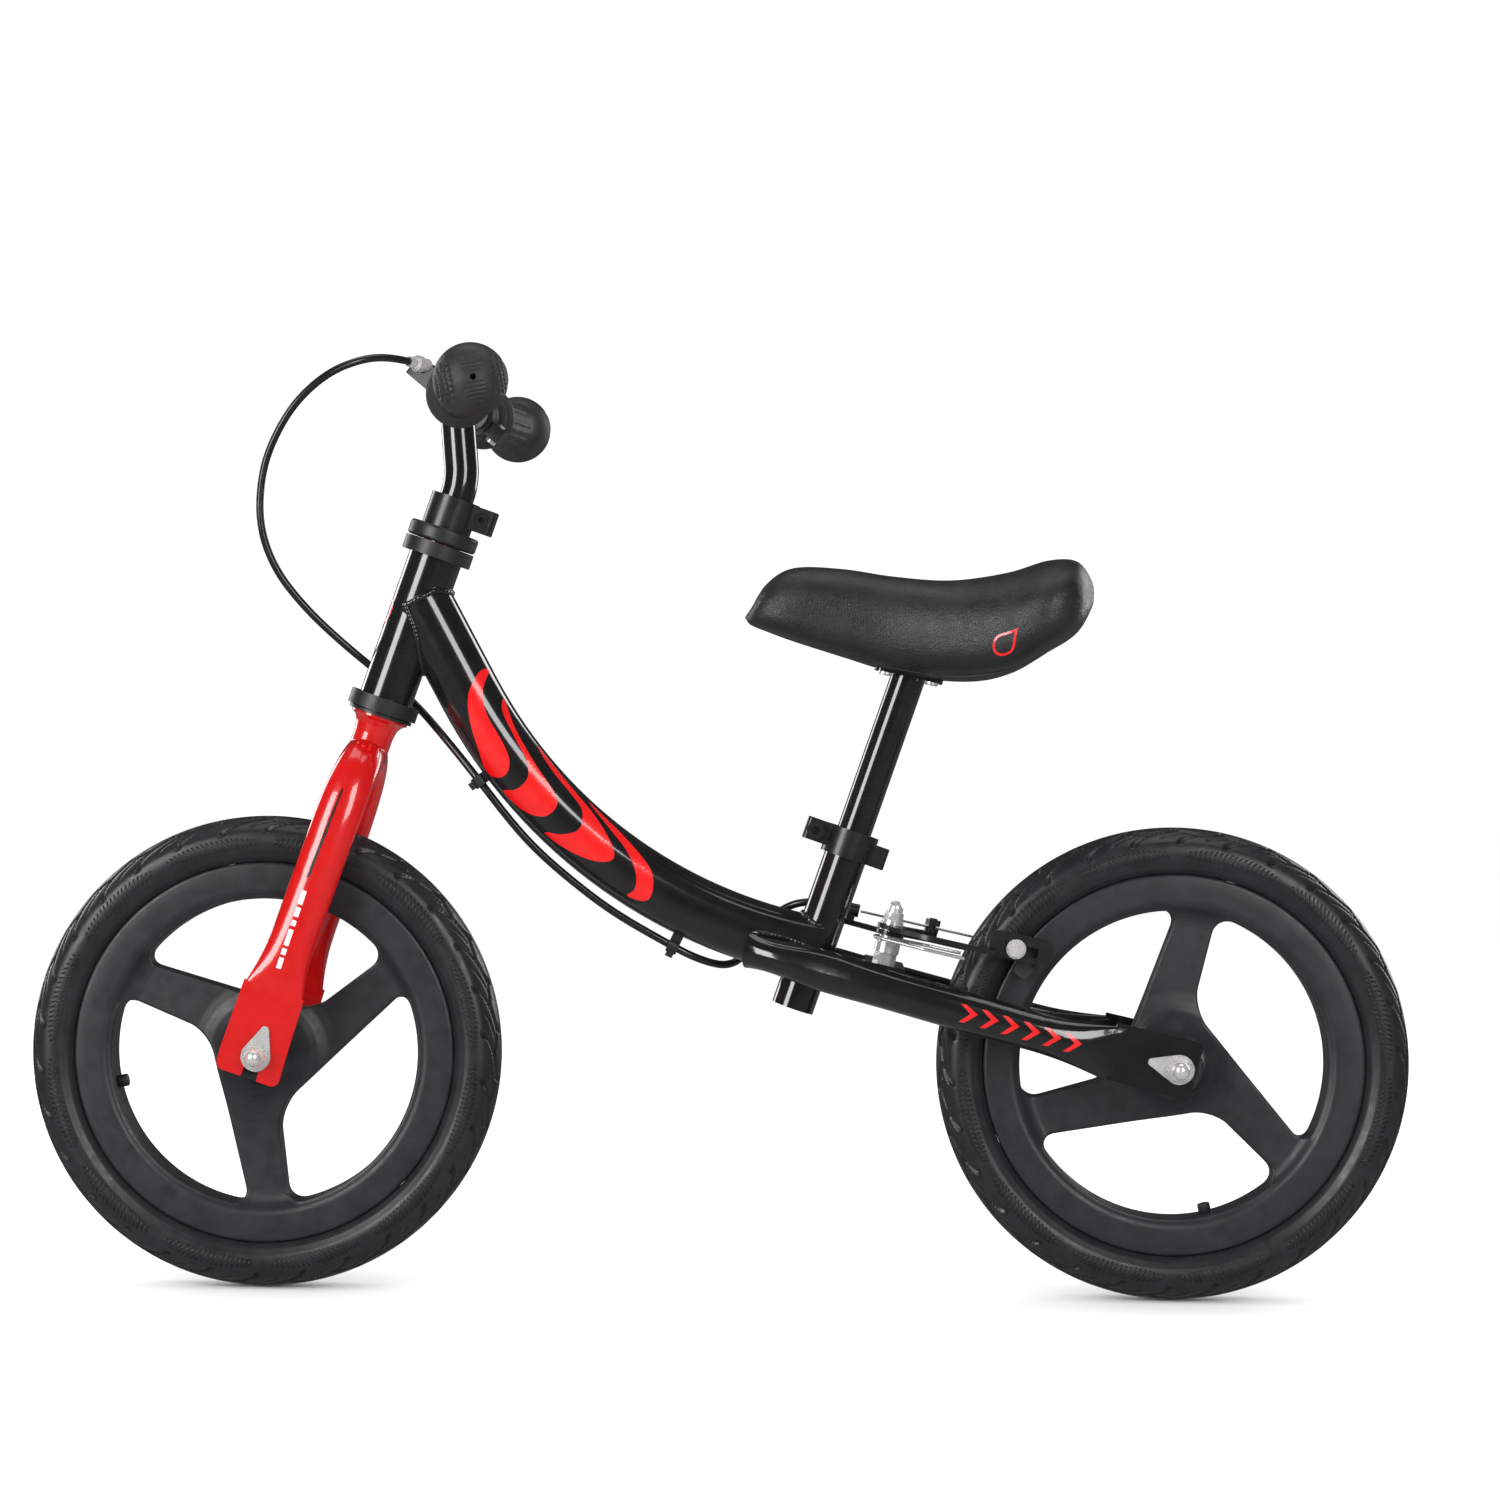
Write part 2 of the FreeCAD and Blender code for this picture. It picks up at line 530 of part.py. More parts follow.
def make_handlebar_clamp():
    """Split collar on the steerer's top, with two bolted rear ears."""
    collar = ring(CLAMP_RADIUS, STEERER_RADIUS, COLLAR_LOW, CLAMP_HIGH)
    ears = block(V(10, -9, CLAMP_LOW + 0.6), V(CLAMP_EAR_REACH, 9, CLAMP_HIGH - 0.6))
    ears = ears.makeFillet(4.0, vertical_edges(ears, Z_AXIS, lambda p: p.x > 20))
    clamp = collar.fuse(ears).cut(Part.makeCylinder(STEERER_RADIUS, 60, V(0, 0, 100)))
    clamp = clamp.cut(block(V(10, -1.5, COLLAR_LOW - 1), V(40, 1.5, CLAMP_HIGH + 1)))
    level = (CLAMP_LOW + CLAMP_HIGH) / 2
    clamp = clamp.cut(Part.makeCylinder(3, 40, V(CLAMP_BOLT_OFFSET, -20, level), Y_AXIS))
    counterbore = Part.makeCylinder(4.6, 6, V(CLAMP_BOLT_OFFSET, -10.5, level), Y_AXIS)
    clamp = clamp.cut(counterbore).removeSplitter()
    shank = Part.makeCylinder(3, 18, V(CLAMP_BOLT_OFFSET, -4.5, level), Y_AXIS)
    head = Part.makeCylinder(4.6, 3.6, V(CLAMP_BOLT_OFFSET, -8.1, level), Y_AXIS)
    head = head.cut(hexagon(4, 2.6, V(CLAMP_BOLT_OFFSET, -8.1, level), V(Y_AXIS)))
    nut = hexagon(10, 4.5, V(CLAMP_BOLT_OFFSET, 9, level), V(Y_AXIS))
    add("handlebar_clamp", placed(clamp, STEER))
    add("handlebar_clamp_bolt", placed(shank.fuse([head, nut]), STEER))


# ---- wheels -------------------------------------------------------------------------------------
def spoke_openings(first_angle, hand):
    """Solids of the three windows between the swept spokes; hand picks which way they sweep."""
    windows = axle_ring(RIM_INNER, HUB_DISC_RADIUS, -60, 60)
    lead_slope = (SPOKE_LEAD_RIM - SPOKE_LEAD_HUB) / SPOKE_REACH
    trail_slope = (SPOKE_TRAIL_RIM - SPOKE_TRAIL_HUB) / SPOKE_REACH
    corners = [(SPOKE_BACK, -SPOKE_TRAIL_HUB - trail_slope * SPOKE_BACK),
               (SPOKE_BACK, SPOKE_LEAD_HUB + lead_slope * SPOKE_BACK),
               (SPOKE_REACH, SPOKE_LEAD_RIM), (SPOKE_REACH, -SPOKE_TRAIL_RIM)]
    corners.append(corners[0])
    for step in range(3):
        outline = [V(along, -61, hand * offset) for along, offset in corners]
        spoke = Part.Face(Part.makePolygon(outline)).extrude(Y_AXIS * 122)
        spoke.rotate(CENTRE, Y_AXIS, -(first_angle + 120 * step))
        windows = windows.cut(spoke)
    rounded = []
    for window in windows.Solids:
        window = window.makeFillet(11.0, vertical_edges(window, Y_AXIS, lambda p: p.Length < 60))
        window = window.makeFillet(9.0, vertical_edges(window, Y_AXIS, lambda p: p.Length > 80))
        rounded.append(window)
    return rounded


def rim_solid(first_angle, plug_angle, hand):
    """One-piece rim, spokes and hub, with pockets for two bearings and one drain plug."""
    bore = AXLE_RADIUS + 0.7
    pocket = HUB_HALF - WHEEL_BEARING_WIDTH
    half = [(bore, pocket), (WHEEL_BEARING_RADIUS, pocket), (WHEEL_BEARING_RADIUS, HUB_HALF),
            (HUB_END_RADIUS, HUB_HALF), (HUB_END_RADIUS + 1.5, HUB_HALF - 6), (24, 22), (34, WEB_HALF + 3),
            (46, WEB_HALF), (RIM_INNER - 9, WEB_HALF - 1), (RIM_INNER - 2, WEB_HALF + 1),
            (RIM_INNER, RIM_HALF - 4.5), (RIM_INNER + 5, RIM_HALF), (RIM_OUTER - 3, RIM_HALF),
            (RIM_OUTER, RIM_HALF - 1.5), (RIM_OUTER, RIM_HALF - 5), (RIM_INNER + 7, RIM_HALF - 6.5)]
    outline = [V(radius, y, 0) for radius, y in half]
    outline += [V(radius, -y, 0) for radius, y in reversed(half)]
    disc = Part.Face(Part.makePolygon(outline + outline[:1])).revolve(CENTRE, Y_AXIS, 360)
    wheel = disc.cut(Part.makeCompound(spoke_openings(first_angle, hand)))
    plug = Part.makeCylinder(4, 8, V(RIM_INNER - 6.5, 0, 0), X_AXIS)
    plug = plug.cut(Part.makeCylinder(2, 4, V(RIM_INNER - 7, 0, 0), X_AXIS))
    plug.rotate(CENTRE, Y_AXIS, -plug_angle)
    return wheel.fuse(plug).removeSplitter()


def tyre_solid():
    """Foam tyre on the rim: flat seat, bulged sides and a crowned tread."""
    seat = RIM_HALF - 1.5
    shoulder = 141.0
    shoulder_half = 20.6
    points = [V(RIM_OUTER, seat, 0), V(131, TYRE_HALF, 0), V(shoulder, shoulder_half, 0),
              V(WHEEL_RADIUS, 0, 0), V(shoulder, -shoulder_half, 0), V(131, -TYRE_HALF, 0),
              V(RIM_OUTER, -seat, 0)]
    edges = [Part.Arc(points[0], points[1], points[2]).toShape(),
             Part.Arc(points[2], points[3], points[4]).toShape(),
             Part.Arc(points[4], points[5], points[6]).toShape(),
             Part.LineSegment(points[6], points[0]).toShape()]
    return Part.Face(Part.Wire(edges)).revolve(CENTRE, Y_AXIS, 360)


def tab_washer(side, direction):
    """Teardrop washer outside a dropout, with its tip pointing along direction."""
    low = side * (DROPOUT_MID + DROPOUT_THICK / 2) if side > 0 else -(DROPOUT_MID + DROPOUT_THICK / 2) - 1.8
    disc = Part.makeCylinder(9.3, 1.8, V(0, low, 0), Y_AXIS)
    tip_centre = direction * 17.5
    tip = Part.makeCylinder(2.6, 1.8, V(tip_centre.x, low, tip_centre.z), Y_AXIS)
    across = direction.cross(Y_AXIS)
    outline = [across * 8.6 + direction * 3.4, tip_centre + across * 2.4 + direction * 0.9,
               tip_centre - across * 2.4 + direction * 0.9, across * -8.6 + direction * 3.4]
    outline = [V(point.x, low, point.z) for point in outline]
    web = Part.Face(Part.makePolygon(outline + outline[:1])).extrude(Y_AXIS * 1.8)
    washer = disc.fuse([tip, web]).removeSplitter()
    return washer.cut(Part.makeCylinder(AXLE_RADIUS, 4, V(0, low - 1, 0), Y_AXIS))


def make_wheel(name, axle, first_angle, plug_angle, hand, tab_direction):
    """Rim, tyre, bearings and everything on one axle."""
    def move(shape):
        shape.translate(axle)
        return shape
    add(name + "_rim", move(rim_solid(first_angle, plug_angle, hand)))
    add(name + "_tyre", move(tyre_solid()))
    bearings = []
    locknuts = []
    washers = []
    nuts = []
    inner = HUB_HALF - WHEEL_BEARING_WIDTH
    dropout_in = DROPOUT_MID - DROPOUT_THICK / 2
    washer_out = DROPOUT_MID + DROPOUT_THICK / 2 + 1.8
    for _, side in SIDES:
        low, high = sorted((side * inner, side * HUB_HALF))
        bearings.append(axle_ring(WHEEL_BEARING_RADIUS, AXLE_RADIUS + RUNNING_GAP, low, high))
        low, high = sorted((side * (HUB_HALF + 0.4), side * dropout_in))
        locknuts.append(axle_ring(8.5, AXLE_RADIUS, low, high))
        washers.append(tab_washer(side, tab_direction))
        nuts.append(acorn_nut(V(0, side * washer_out, 0), V(0, side, 0)))
    add(name + "_wheel_bearings", move(Part.makeCompound(bearings)))
    add(name + "_axle_locknuts", move(Part.makeCompound(locknuts)))
    add(name + "_tab_washers", move(Part.makeCompound(washers)))
    add(name + "_axle_nuts", move(Part.makeCompound(nuts)))
    add(name + "_axle", move(Part.makeCylinder(AXLE_RADIUS, 2 * AXLE_HALF, V(0, -AXLE_HALF, 0), Y_AXIS)))


# ---- handlebar ----------------------------------------------------------------------------------
def stem_points():
    """Bend start, bend middle, bend end and bar centre of the handlebar stem."""
    lean = math.radians(STEER_LEAN)
    forward = math.radians(STEM_FORWARD_LEAN)
    start = STEER.multVec(V(0, 0, STEM_BEND_START))
    centre = start - V(math.cos(lean), 0, -math.sin(lean)) * STEM_BEND_RADIUS
    half = (forward - lean) / 2
    middle = centre + V(math.cos(half), 0, math.sin(half)) * STEM_BEND_RADIUS
    end = centre + V(math.cos(forward), 0, math.sin(forward)) * STEM_BEND_RADIUS
    rise = BAR_HEIGHT - end.z
    top = end + V(-math.tan(forward) * rise, 0, rise)
    return start, middle, end, top


def bar_point(station):
    """Point on the crossbar's centreline at a distance to the right of the middle."""
    top = stem_points()[3]
    beyond = max(abs(station) - BAR_SWEEP_START, 0)
    return V(top.x + beyond * math.tan(math.radians(BAR_SWEEP)), station, BAR_HEIGHT)


def make_handlebar():
    """Stem tube and swept crossbar, welded as a T."""
    start, middle, end, top = stem_points()
    low = STEER.multVec(V(0, 0, STEM_LOW))
    path = Part.Wire([Part.LineSegment(low, start).toShape(), Part.Arc(start, middle, end).toShape(),
                      Part.LineSegment(end, top).toShape()])
    stem = pipe(path, BAR_RADIUS, BAR_RADIUS - BAR_WALL)
    stations = (-BAR_HALF, -BAR_SWEEP_START, BAR_SWEEP_START, BAR_HALF)
    bar_path = rounded_path([bar_point(station) for station in stations], [60.0, 60.0])
    solid_bar = pipe(bar_path, BAR_RADIUS)
    bar = solid_bar.cut(pipe(bar_path, BAR_RADIUS - BAR_WALL))
    stem = stem.cut(pipe(bar_path, BAR_RADIUS + WELD_GAP))
    stem = max(stem.Solids, key=lambda solid: solid.Volume)
    add("handlebar_stem", stem)
    add("handlebar_crossbar", bar)


def side_frame(side):
    """Frame on one half of the bar: z outward along it, origin where the sweep starts."""
    sweep = math.radians(BAR_SWEEP)
    outward = V(math.sin(sweep), side * math.cos(sweep), 0)
    across = outward.cross(Z_AXIS)
    origin = bar_point(0) + V(-BAR_SWEEP_START * math.tan(sweep), 0, 0)
    return frame_matrix(origin, across, Z_AXIS, outward)


def make_grips():
    """Rubber grips: stepped inner flange, ribbed body and round end."""
    stretch = 1 / math.cos(math.radians(BAR_SWEEP))
    start = GRIP_START * stretch
    ball = BALL_CENTRE * stretch
    for name, side in SIDES:
        grip = ring(GRIP_RADIUS, 0, start, ball)
        flange = ring(FLANGE_RADIUS, 0, start + 3, start + 8)
        collar = ring(FLANGE_RADIUS - 2.6, 0, start, start + 13)
        sphere = Part.makeSphere(BALL_RADIUS, V(0, 0, ball))
        grip = grip.fuse([flange, collar, sphere]).removeSplitter()
        grip = grip.cut(Part.makeCylinder(2, 12, V(0, 0, ball + BALL_RADIUS - 10)))
        grip = placed(grip, side_frame(side))
        bore = placed(Part.makeCylinder(BAR_RADIUS, BAR_HALF * stretch, CENTRE), side_frame(side))
        grip = grip.cut(bore)
        add(name + "_grip", max(grip.Solids, key=lambda solid: solid.Volume))


def make_brake_lever():
    """Perch on the bar, lever on its pin, and the cable's barrel adjuster."""
    lever = lever_frame()
    band = axle_ring(BAR_RADIUS + 3.4, 0, -8, 8)
    body = block(V(8, -12, -7), V(43, 12, 7))
    body = body.makeFillet(3.0, vertical_edges(body, Z_AXIS, lambda p: p.x > 20))
    slot = block(V(22, -2.5, -3.6), V(52, 20, 3.6))
    nose = block(V(30, -12, -7), V(51, 2, 7))
    nose = nose.makeFillet(2.0, vertical_edges(nose, Z_AXIS, lambda p: p.x > 40))
    lug = block(V(-25, -6, -5), V(-10, 6, 5))
    perch = band.fuse([body, nose, lug]).cut(slot)
    perch = perch.cut(Part.makeCylinder(BAR_RADIUS, 60, V(0, -30, 0), Y_AXIS))
    perch = perch.cut(Part.makeCylinder(PIN_RADIUS, 30, V(PIVOT_OUT, PIVOT_ALONG, -15)))
    perch = perch.cut(Part.makeCylinder(2, 20, V(-20, 0, -10)))
    inverse = lever.inverse()
    cable_end = inverse.multVec(LOOP_UPPER[0])
    outward = unit(inverse.multVec(LOOP_UPPER[1]) - cable_end)
    root = cable_end - outward * 16
    barrel = Part.makeCylinder(4.6, 10, root, outward)
    barrel = barrel.fuse(Part.makeCylinder(5.4, 4, root + outward * 6, outward))
    barrel = barrel.fuse(Part.makeCylinder(3.6, 6, root + outward * 10, outward))
    perch = perch.cut(barrel).cut(Part.makeCylinder(4.6, 12, root, outward)).removeSplitter()
    perch = max(perch.Solids, key=lambda solid: solid.Volume)
    add("brake_perch", placed(perch, lever))
    add("barrel_adjuster", placed(barrel.removeSplitter(), lever))
    screw = Part.makeCylinder(2, 11, V(-20, 0, -6)).fuse(Part.makeCylinder(3.6, 2.6, V(-20, 0, 5)))
    add("perch_screw", placed(screw, lever))
    pin = Part.makeCylinder(PIN_RADIUS, 14, V(PIVOT_OUT, PIVOT_ALONG, -7))
    pin = pin.fuse(Part.makeCylinder(4, 1.4, V(PIVOT_OUT, PIVOT_ALONG, 7)))
    add("lever_pivot_pin", placed(pin, lever))
    pivot = V(PIVOT_OUT, PIVOT_ALONG, 0)
    elbow = V(LEVER_OUT - 3, 24, 0)
    tip = V(LEVER_OUT + 2, LEVER_END, 0)
    path = rounded_path([pivot, elbow, V(LEVER_OUT, 60, 0), tip], [12.0, 200.0])
    first = path.Edges[0]
    tangent = first.tangentAt(first.FirstParameter)
    profile = section_wire(pivot, Z_AXIS, unit(tangent.cross(Z_AXIS)), 6.6, 2.4, 3)
    blade = path.makePipeShell([profile], True, False)
    blade = blade.cut(block(V(0, -20, -20), V(80, 13.5, 20)))
    reach = elbow - pivot
    tongue_frame = frame_matrix(pivot, unit(reach), unit(Z_AXIS.cross(reach)), Z_AXIS)
    tongue = placed(block(V(0, -4.5, -3.2), V(17, 4.5, 3.2)), tongue_frame)
    tongue = tongue.fuse(Part.makeCylinder(5.5, 6.4, pivot - Z_AXIS * 3.2))
    knob = Part.makeSphere(6.2, tip)
    blade = blade.fuse([tongue, knob]).removeSplitter()
    bore = Part.makeCylinder(PIN_RADIUS + RUNNING_GAP, 20, V(PIVOT_OUT, PIVOT_ALONG, -10))
    add("brake_lever", placed(blade.cut(bore), lever))


# ---- saddle -------------------------------------------------------------------------------------
def saddle_section(x, low, high, half_width, low_power):
    """Closed section of the saddle across the bike: crowned top, flatter underside."""
    widest = low + 0.42 * (high - low)
    count = 28
    points = []
    for step in range(count):
        angle = 2 * math.pi * step / count
        cosine = math.cos(angle)
        sine = math.sin(angle)
        power = 2.3 if sine >= 0 else low_power
        reach = high - widest if sine >= 0 else widest - low
        across = math.copysign(abs(cosine) ** (2 / power), cosine) * half_width
        points.append(V(x, across, widest + math.copysign(abs(sine) ** (2 / power), sine) * reach))
    curve = Part.BSplineCurve()
    curve.interpolate(Points=points, PeriodicFlag=True)
    return Part.Wire([curve.toShape()])


def make_saddle():
    """Padded saddle on a moulded pan, on a flanged post."""
    pad = Part.makeLoft([saddle_section(x, low, high, half, 3.4) for x, low, high, half in SADDLE_STATIONS],
                        True, False)
    pan = Part.makeLoft([section_wire(V(x, 0, low + thick / 2), V(Y_AXIS), V(Z_AXIS), half, thick / 2, 5)
                         for x, low, thick, half in PAN_STATIONS], True, False)
    pan = pan.common(pad)
    pad = pad.cut(pan)
    post = ring(POST_RADIUS, POST_BORE, POST_LOW, POST_TOP + 6)
    post = placed(post, SEAT)
    flange_frame = leaning_frame(SEAT.multVec(V(0, 0, POST_TOP)), FLANGE_TILT)
    long_half = FLANGE_HALF_LENGTH
    wide_half = FLANGE_HALF_WIDTH
    flange = block(V(-long_half, -wide_half, 0), V(long_half, wide_half, FLANGE_THICK))
    flange = flange.makeFillet(5.0, vertical_edges(flange, Z_AXIS, lambda p: True))
    above = placed(block(V(-90, -60, FLANGE_THICK), V(90, 60, 60)), flange_frame)
    flange_placed = placed(flange, flange_frame)
    post = post.cut(above).fuse(flange_placed).removeSplitter()
    socket = block(V(-long_half - 0.5, -wide_half - 0.5, -20), V(long_half + 0.5, wide_half + 0.5, FLANGE_THICK))
    socket = placed(socket, flange_frame)
    pan = pan.cut(socket)
    pad = pad.cut(socket)
    screws = []
    for x in (-SADDLE_SCREW_X, SADDLE_SCREW_X):
        for y in (-SADDLE_SCREW_Y, SADDLE_SCREW_Y):
            shank = Part.makeCylinder(2.5, 11, V(x, y, 0))
            head = Part.makeCylinder(4.5, 1.6, V(x, y, -1.6))
            screws.append(placed(shank.fuse(head), flange_frame))
            hole = placed(Part.makeCylinder(2.5, 11, V(x, y, 0)), flange_frame)
            pan = pan.cut(hole)
            pad = pad.cut(hole)
            post = post.cut(hole)
    add("seat_post", post)
    add("saddle_pan", max(pan.Solids, key=lambda solid: solid.Volume))
    add("saddle_pad", max(pad.Solids, key=lambda solid: solid.Volume))
    add("saddle_screws", Part.makeCompound(screws))


# ---- rear brake ---------------------------------------------------------------------------------
def arm_band(points, radii, low):
    """Flat strip of the caliper arm along a path in the arm's plane."""
    path = rounded_path(points, radii)
    first = path.Edges[0]
    start = first.Vertexes[0].Point
    tangent = first.tangentAt(first.FirstParameter)
    across = unit(tangent.cross(Z_AXIS)) * 6.0
    up = Z_AXIS * ARM_THICK
    profile = Part.makePolygon([start - across, start + across, start + across + up, start - across + up,
                                start - across])
    band = path.makePipeShell([profile], True, False)
    band.translate(V(0, 0, low))
    return band


def make_caliper():
    """Two side-pull arms on one bolt, with pads, bolts, spring, cable stop and wire."""
    base = CALIPER
    bore = Part.makeCylinder(PIVOT_RADIUS + RUNNING_GAP, 60, V(0, 0, -5))
    inverse = base.inverse()
    axle_local = inverse.multVec(REAR_AXLE)
    for name, side in SIDES:
        low = LEFT_ARM_LOW if side < 0 else RIGHT_ARM_LOW
        arm = arm_band([V(0, 0, 0), V(3, side * 24, 0), V(24, side * 37.5, 0), V(66, side * 37.5, 0)],
                       [14.0, 14.0], low)
        boss = Part.makeCylinder(9, ARM_THICK, V(0, 0, low))
        plate = block(V(61, PAD_PLATE_IN, low), V(101, PAD_PLATE_OUT, 37.5))
        if side < 0:
            plate = block(V(61, -PAD_PLATE_OUT, low), V(101, -PAD_PLATE_IN, 37.5))
        plate = plate.makeFillet(6.0, vertical_edges(plate, Y_AXIS, lambda p: p.x > 90 or p.z > 30))
        slot = block(V(71, side * 37.5 - 5, PAD_LEVEL - 3.2), V(92, side * 37.5 + 5, PAD_LEVEL + 3.2))
        plate = plate.cut(slot)
        reach_x = 26 if side < 0 else -28
        tail = arm_band([V(0, 0, 0), V(reach_x * 0.45, 14, 0), V(reach_x, 29, 0)], [16.0], low)
        arm = arm.fuse([boss, plate, tail]).removeSplitter().cut(bore)
        if side > 0:
            stop = Part.makeCylinder(4.2, 11, V(-33, 25, 27), X_AXIS)
            stop = stop.fuse(block(V(-31, 22, low + 1), V(-24, 28, 26)))
            stop = stop.cut(Part.makeCylinder(1.9, 20, V(-40, 25, 27), X_AXIS))
            arm = arm.fuse(stop).removeSplitter()
        bolt_at = V(PAD_REACH, side * PAD_PLATE_OUT, PAD_LEVEL)
        outward = V(0, side, 0)
        shank = Part.makeCylinder(3, 9, bolt_at - outward * 9, outward)
        head = Part.makeCylinder(6.2, 1.6, bolt_at, outward).fuse(hexagon(9.4, 5.2, bolt_at, outward))
        add(name + "_pad_bolt", placed(shank.fuse(head).removeSplitter(), base))
        # the shoe lies along the rim's side, square to the wheel's radius
        to_axle = unit(V(axle_local.x - bolt_at.x, 0, axle_local.z - bolt_at.z))
        tangent = V(-to_axle.z, 0, to_axle.x)
        bolt_radius = V(axle_local.x - bolt_at.x, 0, axle_local.z - bolt_at.z).Length
        centre = V(bolt_at.x, 0, bolt_at.z) + to_axle * (bolt_radius - 113.5)
        face = RIM_HALF + PAD_GAP
        shoe_frame = frame_matrix(centre, tangent, V(Y_AXIS), tangent.cross(Y_AXIS))
        near, far = sorted((side * face, side * 30.0))
        shoe = block(V(-13, near, -5.5), V(13, far, 5.5))
        shoe = shoe.makeFillet(4.0, vertical_edges(shoe, Y_AXIS, lambda p: True))
        shoe = placed(shoe, shoe_frame)
        near, far = sorted((side * 28.0, side * PAD_PLATE_IN))
        carrier = Part.makeCylinder(5.6, far - near, V(bolt_at.x, near, bolt_at.z), Y_AXIS)
        near, far = sorted((side * 28.0, side * 31.5))
        web_frame = frame_matrix(centre, to_axle, V(Y_AXIS), to_axle.cross(Y_AXIS))
        web = block(V(113.5 - bolt_radius, near, -4.5), V(3, far, 4.5))
        carrier = carrier.fuse(placed(web, web_frame))
        pad = shoe.fuse(carrier).removeSplitter()
        pad = pad.cut(Part.makeCylinder(3, 9, bolt_at - outward * 9, outward))
        add(name + "_brake_pad", placed(pad, base))
        add(name + "_caliper_arm", placed(arm, base))

    bolt = Part.makeCylinder(PIVOT_RADIUS, 47, V(0, 0, -10))
    foot = hexagon(12, 5.5, V(0, 0, -9.5), V(Z_AXIS)).cut(Part.makeCylinder(PIVOT_RADIUS, 30, V(0, 0, -12)))
    add("caliper_pivot_bolt", placed(bolt, base))
    stack = [foot]
    stack.append(hexagon(12.5, 6, V(0, 0, 0), V(Z_AXIS)))
    stack.append(Part.makeCylinder(8, 6.6, V(0, 0, 6)))
    stack.append(Part.makeCylinder(6.4, 4.2, V(0, 0, 12.6)))
    stack.append(Part.makeCylinder(7.5, 0.5, V(0, 0, 20.25)))
    stack.append(Part.makeCylinder(7.5, 1.0, V(0, 0, 24.25)))
    core = Part.makeCylinder(PIVOT_RADIUS, 50, V(0, 0, -11))
    stack = [piece.cut(core) for piece in stack]
    stack.append(acorn_nut(V(0, 0, 25.3), V(Z_AXIS), 11.0, 7.0, 4.8, PIVOT_RADIUS, 11.7))
    add("caliper_spacers", placed(Part.makeCompound(stack), base))
    spring_path = rounded_path([V(48, -32, 14.7), V(22, -30, 14.7), V(-9, -12, 14.7), V(-9, 12, 14.7),
                                V(22, 30, 14.7), V(48, 32, 14.7)], [10, 10, 10, 10])
    add("caliper_spring", placed(pipe(spring_path, 1.1), base))
    anchor = hexagon(6.6, 3.4, V(26, 25, LEFT_ARM_LOW - 3.4), V(Z_AXIS))
    anchor = anchor.fuse(Part.makeCylinder(2.5, 13, V(26, 25, LEFT_ARM_LOW - 1)))
    anchor = anchor.fuse(Part.makeCylinder(4.6, 2.2, V(26, 25, LEFT_ARM_LOW + ARM_THICK)))
    anchor = anchor.fuse(hexagon(8.4, 4.0, V(26, 25, 28.2), V(Z_AXIS)))
    wire = Part.makeCylinder(WIRE_RADIUS, 88, V(-21, 25, 27.0), X_AXIS)
    PARTS["left_caliper_arm"] = PARTS["left_caliper_arm"].cut(placed(anchor, base))
    anchor = anchor.cut(wire).removeSplitter()
    add("cable_anchor_bolt", placed(anchor, base))
    add("inner_wire", placed(wire, base))


# ---- brake cable --------------------------------------------------------------------------------
def cable_tube(points):
    """Housing along a route, with its length and arcs checked."""
    radii = cable_radii(points)
    path = rounded_path(points, radii)
    tube = pipe(path, HOUSING_RADIUS)
    expected = math.pi * HOUSING_RADIUS ** 2 * path.Length
    print("cable %.0f mm, arcs %s, volume ratio %.4f"
          % (path.Length, [round(radius) for radius in radii], tube.Volume / expected))
    return tube


def make_cable():
    """Housing from the lever to the caliper's stop, in three lengths, and its two guides."""
    add("upper_cable_loop", cable_tube(LOOP_UPPER))
    add("lower_cable_loop", cable_tube(LOOP_LOWER))
    housing = cable_tube(FRAME_RUN)
    add("frame_cable_housing", housing)
    main_core = pipe(main_tube_path(), MAIN_RADIUS)
    guides = []
    for point in GUIDE_POINTS:
        nearest = main_core.distToShape(Part.Vertex(point))[1][0][0]
        toward = unit(nearest - point)
        along = toward.cross(Y_AXIS)
        ring_part = Part.makeCylinder(4.6, 7, point - along * 3.5, along)
        web_frame = frame_matrix(point, toward, V(Y_AXIS), toward.cross(Y_AXIS))
        web = placed(block(V(0, -2.2, -3.5), V(24, 2.2, 3.5)), web_frame)
        head = placed(block(V(-7.2, -3.2, -2.4), V(-3.6, 3.2, 2.4)), web_frame)
        guide = ring_part.fuse([web, head]).removeSplitter().cut(main_core).cut(housing)
        guides.append(max(guide.Solids, key=lambda solid: solid.Volume))
    add("cable_guides", Part.makeCompound(guides))


def main():
    """Build every sub-part and write one STEP file for each."""
    make_frame_tubes()
    make_chainstays()
    make_brake_bridge()
    make_headset()
    make_seat_clamp()
    make_steerer()
    make_fork_blades()
    make_handlebar_clamp()
    lean = math.radians(STEER_LEAN)
    slope = math.atan(STAY_SLOPE)
    make_wheel("front", FRONT_AXLE, FRONT_SPOKE_ANGLE, FRONT_PLUG_ANGLE, -1, V(math.sin(lean), 0, math.cos(lean)))
    make_wheel("rear", REAR_AXLE, REAR_SPOKE_ANGLE, REAR_PLUG_ANGLE, 1, V(-math.cos(slope), 0, math.sin(slope)))
    make_handlebar()
    make_grips()
    make_brake_lever()
    make_saddle()
    make_caliper()
    make_cable()
    os.makedirs("parts", exist_ok=True)
    for name, shape in PARTS.items():
        shape.exportStep("parts/" + name + ".step")
    print(len(PARTS), "sub-parts")


main()
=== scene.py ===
"""Looks of the child's balance bike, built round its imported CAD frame.

Shapes are in millimetres and reach Blender through MM. Lights and the camera are in metres.
"""

import json
import math

